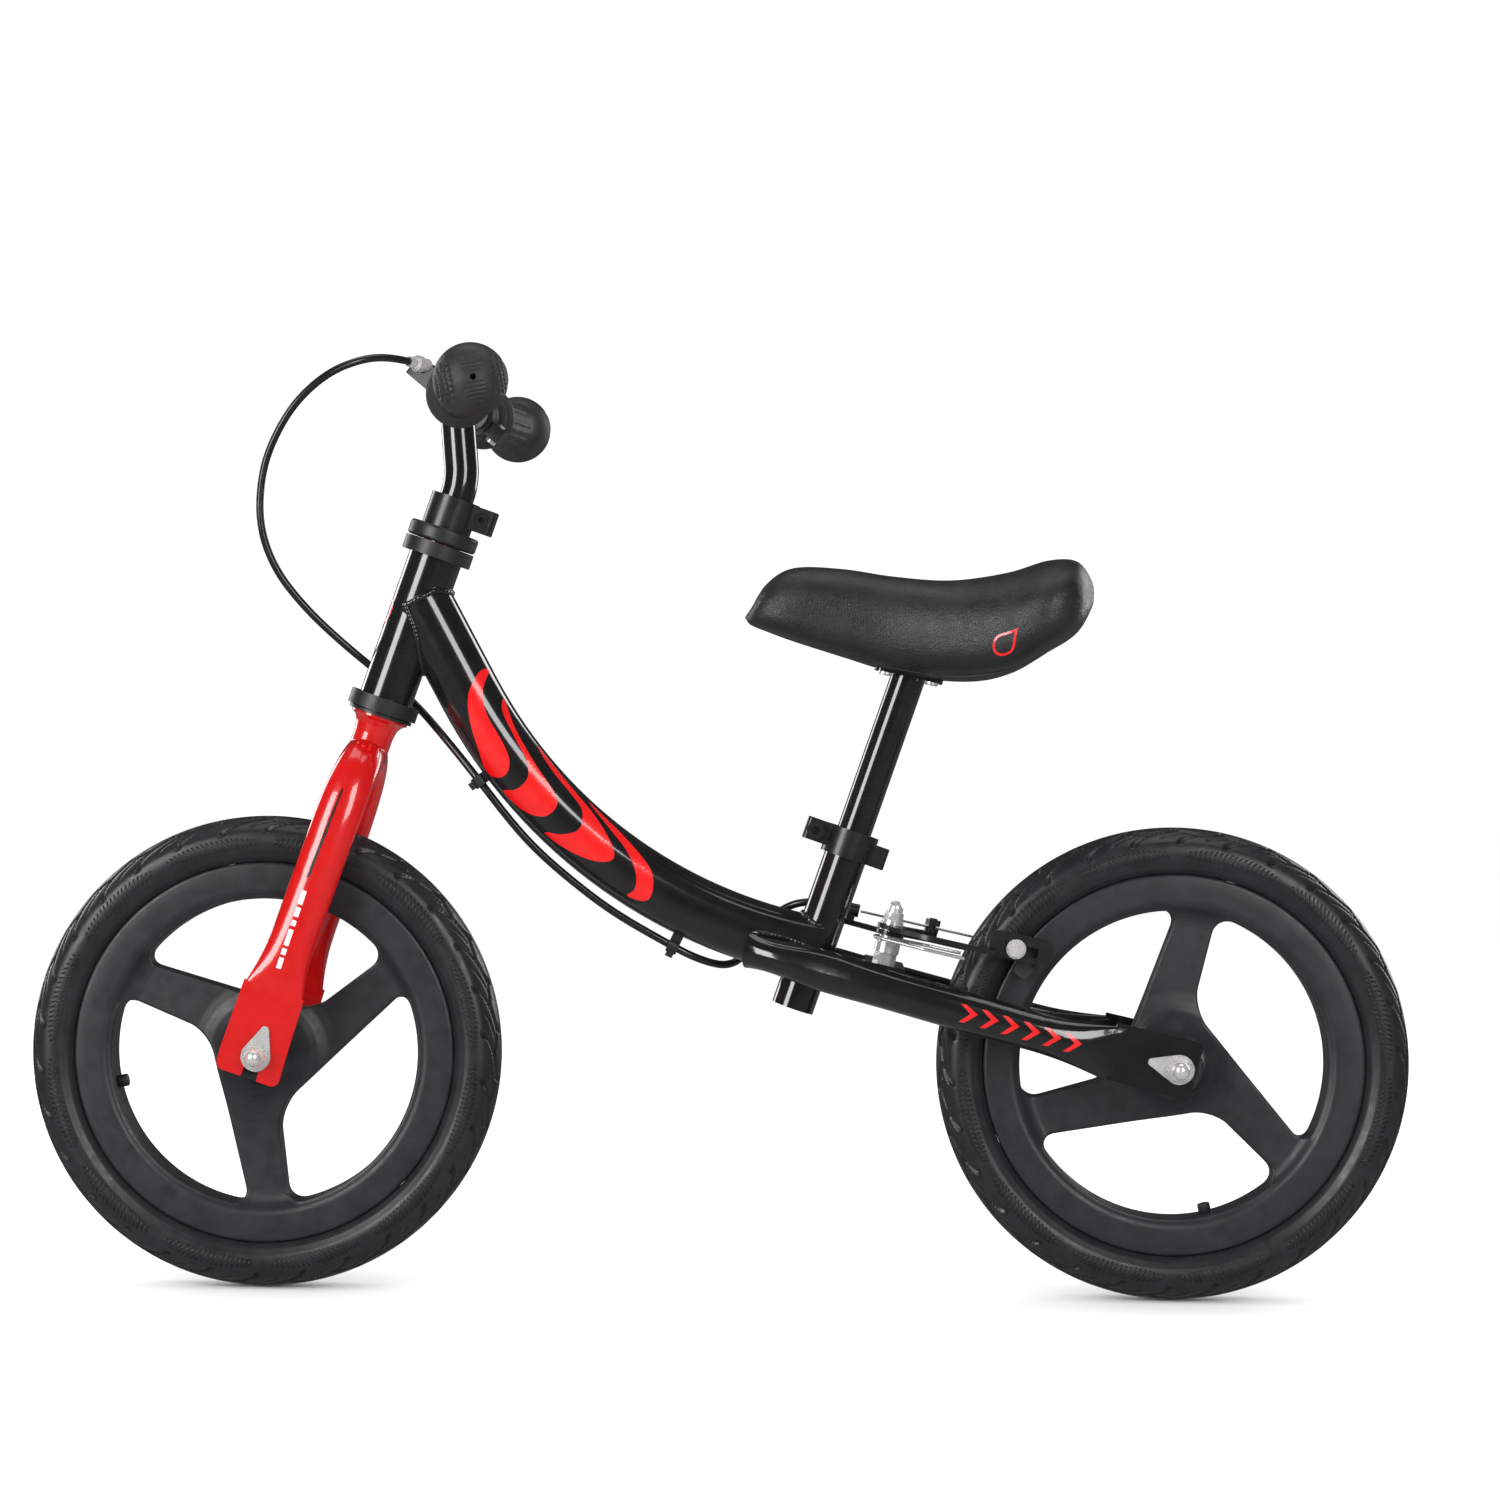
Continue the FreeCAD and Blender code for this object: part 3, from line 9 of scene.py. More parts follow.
import bmesh
import bpy
import numpy as np
from mathutils import Matrix, Vector
from mathutils.bvhtree import BVHTree

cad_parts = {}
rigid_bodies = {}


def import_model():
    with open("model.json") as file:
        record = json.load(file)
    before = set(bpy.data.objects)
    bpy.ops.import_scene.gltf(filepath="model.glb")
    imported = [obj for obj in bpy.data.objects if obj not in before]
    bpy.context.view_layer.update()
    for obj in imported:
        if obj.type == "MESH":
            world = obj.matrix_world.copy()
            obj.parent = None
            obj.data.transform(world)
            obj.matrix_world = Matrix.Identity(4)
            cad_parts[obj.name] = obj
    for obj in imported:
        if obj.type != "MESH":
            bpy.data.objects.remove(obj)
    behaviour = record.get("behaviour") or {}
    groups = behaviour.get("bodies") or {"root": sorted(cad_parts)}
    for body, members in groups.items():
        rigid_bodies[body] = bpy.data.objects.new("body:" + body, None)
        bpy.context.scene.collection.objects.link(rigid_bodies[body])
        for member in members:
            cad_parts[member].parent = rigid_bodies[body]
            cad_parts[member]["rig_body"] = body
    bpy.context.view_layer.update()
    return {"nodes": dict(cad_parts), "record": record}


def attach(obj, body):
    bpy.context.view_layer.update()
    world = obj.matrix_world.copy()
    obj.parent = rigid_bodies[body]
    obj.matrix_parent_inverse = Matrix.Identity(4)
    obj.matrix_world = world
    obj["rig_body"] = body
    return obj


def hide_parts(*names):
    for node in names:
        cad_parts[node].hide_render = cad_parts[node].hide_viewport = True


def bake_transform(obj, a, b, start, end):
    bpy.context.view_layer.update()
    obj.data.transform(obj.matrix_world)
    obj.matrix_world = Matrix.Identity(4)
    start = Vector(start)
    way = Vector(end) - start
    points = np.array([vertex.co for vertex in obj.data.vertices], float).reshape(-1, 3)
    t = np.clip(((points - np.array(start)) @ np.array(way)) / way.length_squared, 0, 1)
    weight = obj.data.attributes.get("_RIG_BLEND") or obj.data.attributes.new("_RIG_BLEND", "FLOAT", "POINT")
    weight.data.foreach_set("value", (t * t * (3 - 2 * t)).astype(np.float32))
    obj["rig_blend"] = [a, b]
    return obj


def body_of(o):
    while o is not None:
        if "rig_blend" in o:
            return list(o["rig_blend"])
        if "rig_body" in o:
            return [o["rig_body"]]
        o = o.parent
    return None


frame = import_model()
MM = 0.001
TAU = 2 * math.pi

# ---- the frame's own lines, as in the CAD part ----------------------------------------------------
WHEEL_RADIUS = 150.0
FRONT_AXLE = (-288.5, 0.0, 150.0)
REAR_AXLE = (288.5, 0.0, 150.0)
STEER_ORIGIN = np.array((-215.4, 0.0, 375.8))
STEER_LEAN = math.radians(18.7)
SEAT_ORIGIN = np.array((46.6, 0.0, 182.0))
SEAT_LEAN = math.radians(18.6)
MAIN_ARC_CENTRE = np.array((114.5, 0.0, 531.0))
MAIN_ARC_RADIUS = 315.0
MAIN_RADIUS = 20.0
MAIN_SLOPE = math.radians(61.3)
MAIN_STRAIGHT = 67.2
MAIN_END_X = 64.0
HEAD_RADIUS = 17.2
SEAT_TUBE_RADIUS = 13.6
STAY_RADIUS = 12.7
BAR_SWEEP = math.radians(9.5)
BAR_SWEEP_START = 22.0
BAR_HEIGHT = 563.0
BAR_CENTRE_X = -172.66
STAY_START_X = 89.0
STAY_START_Z = 201.5
STAY_FALL = 0.2667


def lean_axes(lean):
    """x and z directions of a frame that leans back."""
    return (np.array((math.cos(lean), 0, -math.sin(lean))), np.array((math.sin(lean), 0, math.cos(lean))))


STEER_X, STEER_Z = lean_axes(STEER_LEAN)
SEAT_X, SEAT_Z = lean_axes(SEAT_LEAN)
# the main tube's straight upper end: its direction down, its upper side and where its arc takes over
MAIN_DOWN = np.array((math.cos(MAIN_SLOPE), 0, -math.sin(MAIN_SLOPE)))
MAIN_OUTER = np.array((math.sin(MAIN_SLOPE), 0, math.cos(MAIN_SLOPE)))
MAIN_ARC_START = MAIN_ARC_CENTRE - MAIN_ARC_RADIUS * MAIN_OUTER


def stay_height(x):
    """Height of a chainstay's centreline, which falls evenly towards the rear axle."""
    return STAY_START_Z - (x - STAY_START_X) * STAY_FALL


# ---- mesh helpers ---------------------------------------------------------------------------------
def new_object(name, verts, faces, smooth=True):
    """Mesh object from points in millimetres in the bike's frame."""
    mesh = bpy.data.meshes.new(name)
    mesh.from_pydata([tuple(float(c) * MM for c in v) for v in verts], [], faces)
    mesh.update()
    mesh.polygons.foreach_set("use_smooth", [smooth] * len(mesh.polygons))
    obj = bpy.data.objects.new(name, mesh)
    bpy.context.scene.collection.objects.link(obj)
    return obj


def grid_faces(rows, columns, close_rows=False, close_columns=True, start=0):
    """Quads of a grid whose columns run round and whose rows run along."""
    faces = []
    for i in range(rows if close_rows else rows - 1):
        for j in range(columns if close_columns else columns - 1):
            a = start + i * columns + j
            b = start + i * columns + (j + 1) % columns
            c = start + ((i + 1) % rows) * columns + (j + 1) % columns
            d = start + ((i + 1) % rows) * columns + j
            faces.append((a, b, c, d))
    return faces


def tidy_normals(obj):
    """Faces all turned outward."""
    bm = bmesh.new()
    bm.from_mesh(obj.data)
    bmesh.ops.recalc_face_normals(bm, faces=bm.faces)
    bm.to_mesh(obj.data)
    bm.free()


def smoothstep(low, high, value):
    """0 below low, 1 above high and a smooth rise between."""
    t = np.clip((value - low) / (high - low), 0, 1)
    return t * t * (3 - 2 * t)


def wrap(value):
    """Signed distance to the nearest whole number."""
    return value - np.round(value)


def spline(points, count, closed=False):
    """Catmull-Rom curve through points."""
    pts = np.array(points, float)
    n = len(pts)
    out = []
    spans = n if closed else n - 1
    for k in range(count):
        t = k / count * spans if closed else k / (count - 1) * spans
        i = min(int(t), spans - 1)
        f = t - i
        if closed:
            p0, p1, p2, p3 = (pts[(i + d) % n] for d in (-1, 0, 1, 2))
        else:
            p1, p2 = pts[i], pts[i + 1]
            p0 = pts[i - 1] if i > 0 else 2 * p1 - p2
            p3 = pts[i + 2] if i + 2 < n else 2 * p2 - p1
        out.append(0.5 * (2 * p1 + (p2 - p0) * f + (2 * p0 - 5 * p1 + 4 * p2 - p3) * f * f
                          + (3 * p1 - p0 - 3 * p2 + p3) * f ** 3))
    return np.array(out)


def tube_along(name, points, radii, sides=16, closed=False):
    """Tube round a line of points, with a radius at each."""
    pts = np.array(points, float)
    n = len(pts)
    radii = np.broadcast_to(np.array(radii, float), (n,))
    if closed:
        tangents = np.roll(pts, -1, 0) - np.roll(pts, 1, 0)
    else:
        tangents = np.gradient(pts, axis=0)
    tangents /= np.linalg.norm(tangents, axis=1)[:, None]
    side = np.cross(tangents[0], (0.13, 0.9, 0.41))
    verts = []
    for k in range(n):
        side = side - tangents[k] * side.dot(tangents[k])
        side /= np.linalg.norm(side)
        other = np.cross(tangents[k], side)
        for j in range(sides):
            angle = TAU * j / sides
            verts.append(pts[k] + (side * math.cos(angle) + other * math.sin(angle)) * radii[k])
    faces = grid_faces(n, sides, close_rows=closed)
    if not closed:
        faces.append(tuple(range(sides))[::-1])
        faces.append(tuple(range((n - 1) * sides, n * sides)))
    obj = new_object(name, verts, faces)
    tidy_normals(obj)
    return obj


def dress(obj, material, body=None):
    """Material and body of one new piece."""
    obj.data.materials.clear()
    obj.data.materials.append(material)
    if body:
        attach(obj, body)
    return obj


# ---- materials ------------------------------------------------------------------------------------
def surface(name, colour, roughness, metallic=0.0, coat=0.0, coat_roughness=0.03, specular=0.5,
            colour_drift=0.12, drift_scale=60.0, rough_drift=0.06, grain=0.0, grain_scale=900.0,
            dents=0.0, dents_scale=90.0, scratches=0.0, leather=0.0, brushed=0.0):
    """Principled material with drift of colour and roughness, grain, orange peel and fine scratches."""
    material = bpy.data.materials.new(name)
    material.use_nodes = True
    nodes = material.node_tree.nodes
    links = material.node_tree.links
    shader = nodes["Principled BSDF"]
    shader.inputs["Metallic"].default_value = metallic
    shader.inputs["Coat Weight"].default_value = coat
    shader.inputs["Coat Roughness"].default_value = coat_roughness
    shader.inputs["Specular IOR Level"].default_value = specular
    place = nodes.new("ShaderNodeTexCoord").outputs["Object"]

    def noise(scale, detail=4.0, rough=0.55, stretch=None):
        node = nodes.new("ShaderNodeTexNoise")
        node.inputs["Scale"].default_value = scale
        node.inputs["Detail"].default_value = detail
        node.inputs["Roughness"].default_value = rough
        source = place
        if stretch:
            mapping = nodes.new("ShaderNodeMapping")
            mapping.inputs["Scale"].default_value = stretch
            links.new(place, mapping.inputs["Vector"])
            source = mapping.outputs["Vector"]
        links.new(source, node.inputs["Vector"])
        return node.outputs["Fac"]

    def remap(source, low, high, start=0.3, end=0.7):
        node = nodes.new("ShaderNodeMapRange")
        node.inputs["From Min"].default_value = start
        node.inputs["From Max"].default_value = end
        node.inputs["To Min"].default_value = low
        node.inputs["To Max"].default_value = high
        links.new(source, node.inputs["Value"])
        return node.outputs["Result"]

    def bump(source, strength, distance, normal=None):
        node = nodes.new("ShaderNodeBump")
        node.inputs["Strength"].default_value = strength
        node.inputs["Distance"].default_value = distance
        links.new(source, node.inputs["Height"])
        if normal:
            links.new(normal, node.inputs["Normal"])
        return node.outputs["Normal"]

    mix = nodes.new("ShaderNodeMix")
    mix.data_type = "RGBA"
    mix.inputs["A"].default_value = (*[c * (1 - colour_drift) for c in colour], 1)
    mix.inputs["B"].default_value = (*[min(c * (1 + colour_drift) + 0.002, 1) for c in colour], 1)
    links.new(remap(noise(drift_scale), 0, 1), mix.inputs["Factor"])
    links.new(mix.outputs["Result"], shader.inputs["Base Color"])
    low, high = max(roughness - rough_drift, 0.02), min(roughness + rough_drift, 1)
    links.new(remap(noise(drift_scale * 2.3, 6.0), low, high), shader.inputs["Roughness"])
    normal = None
    if dents:
        normal = bump(noise(dents_scale, 2.0), dents, 0.0004, normal)
    if leather:
        cells = nodes.new("ShaderNodeTexVoronoi")
        cells.feature = "DISTANCE_TO_EDGE"
        cells.inputs["Scale"].default_value = 620.0
        links.new(place, cells.inputs["Vector"])
        normal = bump(remap(cells.outputs["Distance"], 0, 1, 0.0, 0.16), leather, 0.00012, normal)
        normal = bump(noise(210.0, 5.0, 0.6, (1.0, 1.0, 2.2)), leather, 0.0006, normal)
    if grain:
        normal = bump(noise(grain_scale, 3.0), grain, 0.0002, normal)
    if scratches:
        normal = bump(noise(160.0, 3.0, 0.6, (1.0, 1.0, 9.0)), scratches, 0.00006, normal)
    if brushed:
        normal = bump(noise(500.0, 5.0, 0.6, (1.0, 9.0, 1.0)), brushed, 0.00008, normal)
    if normal:
        links.new(normal, shader.inputs["Normal"])
        if coat:
            links.new(normal, shader.inputs["Coat Normal"])
    return material


BLACK = (0.0055, 0.0055, 0.006)
black_gloss = surface("black_gloss_paint", BLACK, 0.16, coat=1.0, coat_roughness=0.035, rough_drift=0.03,
                      dents=0.08, dents_scale=110.0, scratches=0.03)
red_gloss = surface("red_gloss_paint", (0.43, 0.0008, 0.0008), 0.22, coat=1.0, coat_roughness=0.04,
                    colour_drift=0.05, rough_drift=0.03, dents=0.10, dents_scale=150.0)
red_decal = surface("red_vinyl", (0.56, 0.0012, 0.001), 0.25, coat=0.8, coat_roughness=0.05,
                    colour_drift=0.04, rough_drift=0.03, grain=0.05)
white_decal = surface("white_vinyl", (0.80, 0.79, 0.78), 0.28, coat=0.6, colour_drift=0.03, grain=0.05)
black_decal = surface("black_vinyl", (0.012, 0.008, 0.008), 0.28, coat=0.6, grain=0.05)
rim_plastic = surface("rim_nylon", (0.0150, 0.0152, 0.0175), 0.40, grain=0.22, grain_scale=1400.0,
                      colour_drift=0.16, rough_drift=0.08, dents=0.06)
tyre_foam = surface("tyre_foam", (0.0115, 0.0117, 0.0132), 0.36, grain=0.25, grain_scale=1100.0,
                    colour_drift=0.16, rough_drift=0.08, dents=0.03, dents_scale=120.0)
headset_plastic = surface("headset_plastic", (0.012, 0.012, 0.013), 0.38, grain=0.18, grain_scale=1500.0)
satin_black = surface("satin_black_paint", (0.008, 0.008, 0.009), 0.30, coat=0.25, coat_roughness=0.15,
                      grain=0.14, grain_scale=1300.0, dents=0.08)
zinc = surface("bright_zinc", (0.86, 0.85, 0.83), 0.26, metallic=0.74, rough_drift=0.05, scratches=0.04,
               colour_drift=0.06, drift_scale=90.0)
steel = surface("bearing_steel", (0.50, 0.50, 0.49), 0.30, metallic=1.0, brushed=0.35, rough_drift=0.08)
wire_steel = surface("wire_steel", (0.46, 0.46, 0.45), 0.32, metallic=1.0, brushed=0.4)
# the crossbar is gloss black; this flat mid grey is a painted reflection of the white surroundings on it, in
# place of the black coat
bar_reflection_grey = surface("bar_painted_reflection", (0.20, 0.20, 0.205), 0.30, coat=0.5, coat_roughness=0.12, dents=0.08,
                   colour_drift=0.06, scratches=0.08)
grip_rubber = surface("grip_rubber", (0.016, 0.016, 0.017), 0.52, grain=0.30, grain_scale=1600.0,
                      colour_drift=0.2, rough_drift=0.10)
pad_rubber = surface("pad_rubber", (0.014, 0.014, 0.014), 0.65, grain=0.4)
housing_vinyl = surface("housing_vinyl", (0.007, 0.007, 0.007), 0.26, coat=0.3, coat_roughness=0.12,
                        dents=0.2, dents_scale=300.0, grain=0.05)
leather = surface("saddle_leather", (0.0105, 0.0105, 0.011), 0.40, coat=0.12, coat_roughness=0.35,
                  leather=0.55, colour_drift=0.20, rough_drift=0.09, drift_scale=45.0)
pan_plastic = surface("pan_plastic", (0.014, 0.014, 0.014), 0.50, grain=0.3, grain_scale=800.0)

NODE_MATERIALS = {
    "frame_paint": black_gloss, "fork_paint": red_gloss, "rim_plastic": rim_plastic,
    "tyre_foam": tyre_foam, "headset_plastic": headset_plastic, "bright_steel": zinc,
    "bearing_steel": steel, "black_steel": satin_black, "grip_rubber": grip_rubber,
    "cable_housing": housing_vinyl, "inner_cable": wire_steel, "pad_rubber": pad_rubber,
    "saddle_cover": leather, "saddle_plastic": pan_plastic, "guide_plastic": headset_plastic,
    "bar_paint": bar_reflection_grey,
}
for part in frame["record"]["subparts"]:
    node = frame["nodes"][part["node"]]
    material = NODE_MATERIALS[part["material_slot"]]
    if not node.material_slots:
        node.data.materials.append(material)
    for socket in node.material_slots:
        socket.material = material


# ---- tyres ----------------------------------------------------------------------------------------
def arc_through(first, middle, last, count):
    """Points of the arc through three points in a plane, both ends included."""
    (ax, ay), (bx, by), (cx, cy) = first, middle, last
    d = 2 * (ax * (by - cy) + bx * (cy - ay) + cx * (ay - by))
    ux = ((ax * ax + ay * ay) * (by - cy) + (bx * bx + by * by) * (cy - ay)
          + (cx * cx + cy * cy) * (ay - by)) / d
    uy = ((ax * ax + ay * ay) * (cx - bx) + (bx * bx + by * by) * (ax - cx)
          + (cx * cx + cy * cy) * (bx - ax)) / d
    radius = math.hypot(ax - ux, ay - uy)
    start = math.atan2(ay - uy, ax - ux)
    half = (math.atan2(by - uy, bx - ux) - start + math.pi) % TAU - math.pi
    full = (math.atan2(cy - uy, cx - ux) - start + math.pi) % TAU - math.pi
    if half * full < 0:
        full -= math.copysign(TAU, full)
    return [(ux + radius * math.cos(start + full * k / (count - 1)),
             uy + radius * math.sin(start + full * k / (count - 1))) for k in range(count)]


TREAD_PITCHES = 30
SIPE_SEGMENTS = 12
SIPES_PER_GROUP = 19
SIPE_RADIUS = 133.6
SIPE_TURN_RADIUS = 135.0
SIPE_REACH = 4.0
# a sipe bar's lift over the wall and half width, at its root and at its top, and its six faces
SIPE_SECTION = ((-0.5, 0.88), (0.62, 0.50))
SIPE_FACES = ((2, 3, 7, 6), (0, 2, 6, 4), (3, 1, 5, 7), (0, 1, 3, 2), (4, 6, 7, 5), (0, 4, 5, 1))


def tread_depth(angle, across):
    """Depth of the tread's grooves at an angle round the wheel and a distance from its middle, mm."""
    away = np.abs(across)
    pitch = TAU * WHEEL_RADIUS / TREAD_PITCHES
    turn = angle * TREAD_PITCHES / TAU + np.where(across > 0, 0.5, 0.0)
    q = (away - 5.0) / 19.0
    slant = 0.95 * q - 0.13 * np.sin(TAU * q)
    reach = smoothstep(4.0, 6.0, away) * (1 - smoothstep(22.0, 25.0, away))
    main = (1 - smoothstep(1.3, 2.8, np.abs(wrap(turn - slant)) * pitch)) * reach * 2.4
    second = (1 - smoothstep(0.5, 1.4, np.abs(wrap(turn - slant - 0.5)) * pitch)) * 0.9
    second = second * smoothstep(9.0, 11.0, away) * (1 - smoothstep(19.0, 21.0, away))
    zig = 9.5 + 2.2 * np.abs(2 * wrap(turn)) * 2
    ring = (1 - smoothstep(0.7, 1.7, np.abs(away - zig))) * 1.2
    middle = (1 - smoothstep(0.8, 1.8, away)) * 1.1
    return np.maximum(np.maximum(main, second), np.maximum(ring, middle))


def make_tyre(name, axle, node):
    """Foam tyre with a grooved tread, a seam line at the rim and fine sipes on the shoulders."""
    columns = 1020
    side = arc_through((121.0, 15.5), (131.0, 22.5), (141.0, 20.6), 16)
    crown = arc_through((141.0, 20.6), (150.0, 0.0), (141.0, -20.6), 47)
    other = [(r, -y) for r, y in reversed(side)]
    profile = np.array(side[:-1] + crown + other[1:] + [(121.0, -8.0), (121.0, 8.0)])
    steps = np.linalg.norm(np.diff(profile, axis=0), axis=1)
    along = np.concatenate(([0], np.cumsum(steps)))
    middle = along[len(side) - 1 + 23]
    ahead = np.roll(profile, -1, 0) - np.roll(profile, 1, 0)
    normals = np.stack([-ahead[:, 1], ahead[:, 0]], 1)
    normals /= np.linalg.norm(normals, axis=1)[:, None]
    normals *= np.sign(normals[len(side) + 22, 0])
    angles = np.arange(columns) / columns * TAU
    verts = np.zeros((len(profile), columns, 3))
    for i, (radius, y) in enumerate(profile):
        depth = np.zeros(columns)
        across = along[i] - middle
        if abs(across) < 27 and i < len(profile) - 2:
            depth = tread_depth(angles, across)
        if i < len(profile) - 2:
            # a moulding line low on the sidewall
            depth = depth + 0.35 * math.exp(-((abs(across) - 38.5) / 0.8) ** 2)
        r = radius - normals[i, 0] * depth
        verts[i, :, 0] = axle[0] + r * np.cos(angles)
        verts[i, :, 1] = y - normals[i, 1] * depth
        verts[i, :, 2] = axle[2] + r * np.sin(angles)
    points = [tuple(v) for v in verts.reshape(-1, 3)]
    faces = grid_faces(len(profile), columns, close_rows=True)

    # raised sipes: short slanted bars in bands on both shoulders
    wall = np.array(side)
    for sign in (-1, 1):
        for segment in range(SIPE_SEGMENTS):
            lean = 0.55 if segment % 2 else -0.55
            last = SIPES_PER_GROUP - 1
            for k in range(SIPES_PER_GROUP):
                angle = TAU * (segment + 0.10 + 0.80 * k / last) / SIPE_SEGMENTS + (0.1 if sign > 0 else 0)
                edge = abs(k / last - 0.5) * 2
                reach = SIPE_REACH * (1 - 0.55 * edge ** 3)
                base = len(points)
                for end in (-1, 1):
                    r = SIPE_RADIUS + end * reach
                    y = np.interp(r, wall[5:, 0], wall[5:, 1])
                    turn = angle + end * lean * reach / SIPE_TURN_RADIUS
                    for lift, half in SIPE_SECTION:
                        for s in (-1, 1):
                            t = turn + s * half / SIPE_TURN_RADIUS
                            rr = r + lift * 0.2
                            points.append((axle[0] + rr * math.cos(t), sign * (y + lift),
                                           axle[2] + rr * math.sin(t)))
                faces += [tuple(base + corner for corner in face) for face in SIPE_FACES]
    tyre = new_object(name, points, faces)
    tidy_normals(tyre)
    body = body_of(frame["nodes"][node])[0]
    dress(tyre, tyre_foam, body)
    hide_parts(node)
    return tyre


make_tyre("tread_tyre_front", FRONT_AXLE, "front_tyre")
make_tyre("tread_tyre_rear", REAR_AXLE, "rear_tyre")


# ---- rims -----------------------------------------------------------------------------------------
RIM_INNER = 97.5
HUB_DISC = 30.0
LEAD_AT_HUB = 32.5
LEAD_TAPER = 23.9 / 110.0
TRAIL_AT_HUB = 3.0
TRAIL_FLARE = 11.4 / 110.0
EDGE = 1.6
WINDOW_CORNER = 11.0
FRONT_SPOKES, REAR_SPOKES = math.radians(31.5), math.radians(82.0)
FRONT_PLUG, REAR_PLUG = math.radians(192.6), math.radians(283.2)
# radius and half width, from the bearing pocket out to the tyre's seat
RIM_PROFILE = [(4.7, 33.0), (10.9, 33.0), (11.0, 33.4), (11.0, 39.6), (11.6, 40.0), (15.2, 40.0),
               (16.0, 39.2), (17.3, 34.6), (18.6, 29.5), (20.6, 25.2), (24.0, 21.2), (29.0, 16.4),
               (34.0, 13.1), (40.0, 10.9), (46.0, 10.0), (60.0, 9.6), (75.0, 9.2), (88.0, 9.0),
               (92.0, 9.3), (95.0, 10.6), (97.0, 12.0), (98.6, 13.9), (100.3, 15.6), (102.5, 16.8),
               (104.5, 17.0), (112.0, 16.8), (118.4, 16.9), (119.6, 16.6), (120.4, 15.9), (120.8, 14.8),
               (120.9, 13.0), (104.5, 10.5)]


def round_corner(a, b, radius):
    """Distance inside a corner of two edges joined by a round of this radius."""
    corner = radius - np.hypot(np.maximum(radius - a, 0), np.maximum(radius - b, 0))
    return np.where((a < radius) & (b < radius), corner, np.minimum(a, b))


def window_distance(x, z, first, hand):
    """How far a point of the wheel's side view lies outside the nearest window between swept spokes."""
    z, first = z * hand, first * hand
    r = np.hypot(x, z)
    best = np.full(np.shape(r), 1e3)
    for k in range(3):
        low, high = first + TAU * k / 3, first + TAU * (k + 1) / 3
        along_low = x * math.cos(low) + z * math.sin(low)
        along_high = x * math.cos(high) + z * math.sin(high)
        edge_low = -x * math.sin(low) + z * math.cos(low) - LEAD_AT_HUB + LEAD_TAPER * along_low
        edge_high = x * math.sin(high) - z * math.cos(high) - TRAIL_AT_HUB - TRAIL_FLARE * along_high
        middle = (low + high) / 2
        ahead = x * math.cos(middle) + z * math.sin(middle)
        at_rim = np.minimum(round_corner(edge_low, RIM_INNER - r, WINDOW_CORNER),
                            round_corner(edge_high, RIM_INNER - r, WINDOW_CORNER))
        at_hub = np.minimum(round_corner(edge_low, edge_high, WINDOW_CORNER), r - HUB_DISC)
        inside = np.where(ahead > 0, np.minimum(at_rim, at_hub), -50.0)
        best = np.minimum(best, -inside)
    return best


def rim_shape(r):
    """Half width of the rim and web at a radius in the spokes' zone."""
    zone = [(radius, half) for radius, half in RIM_PROFILE[:-1] if 24 <= radius <= 104.5]
    return np.interp(r, [p[0] for p in zone], [p[1] for p in zone])


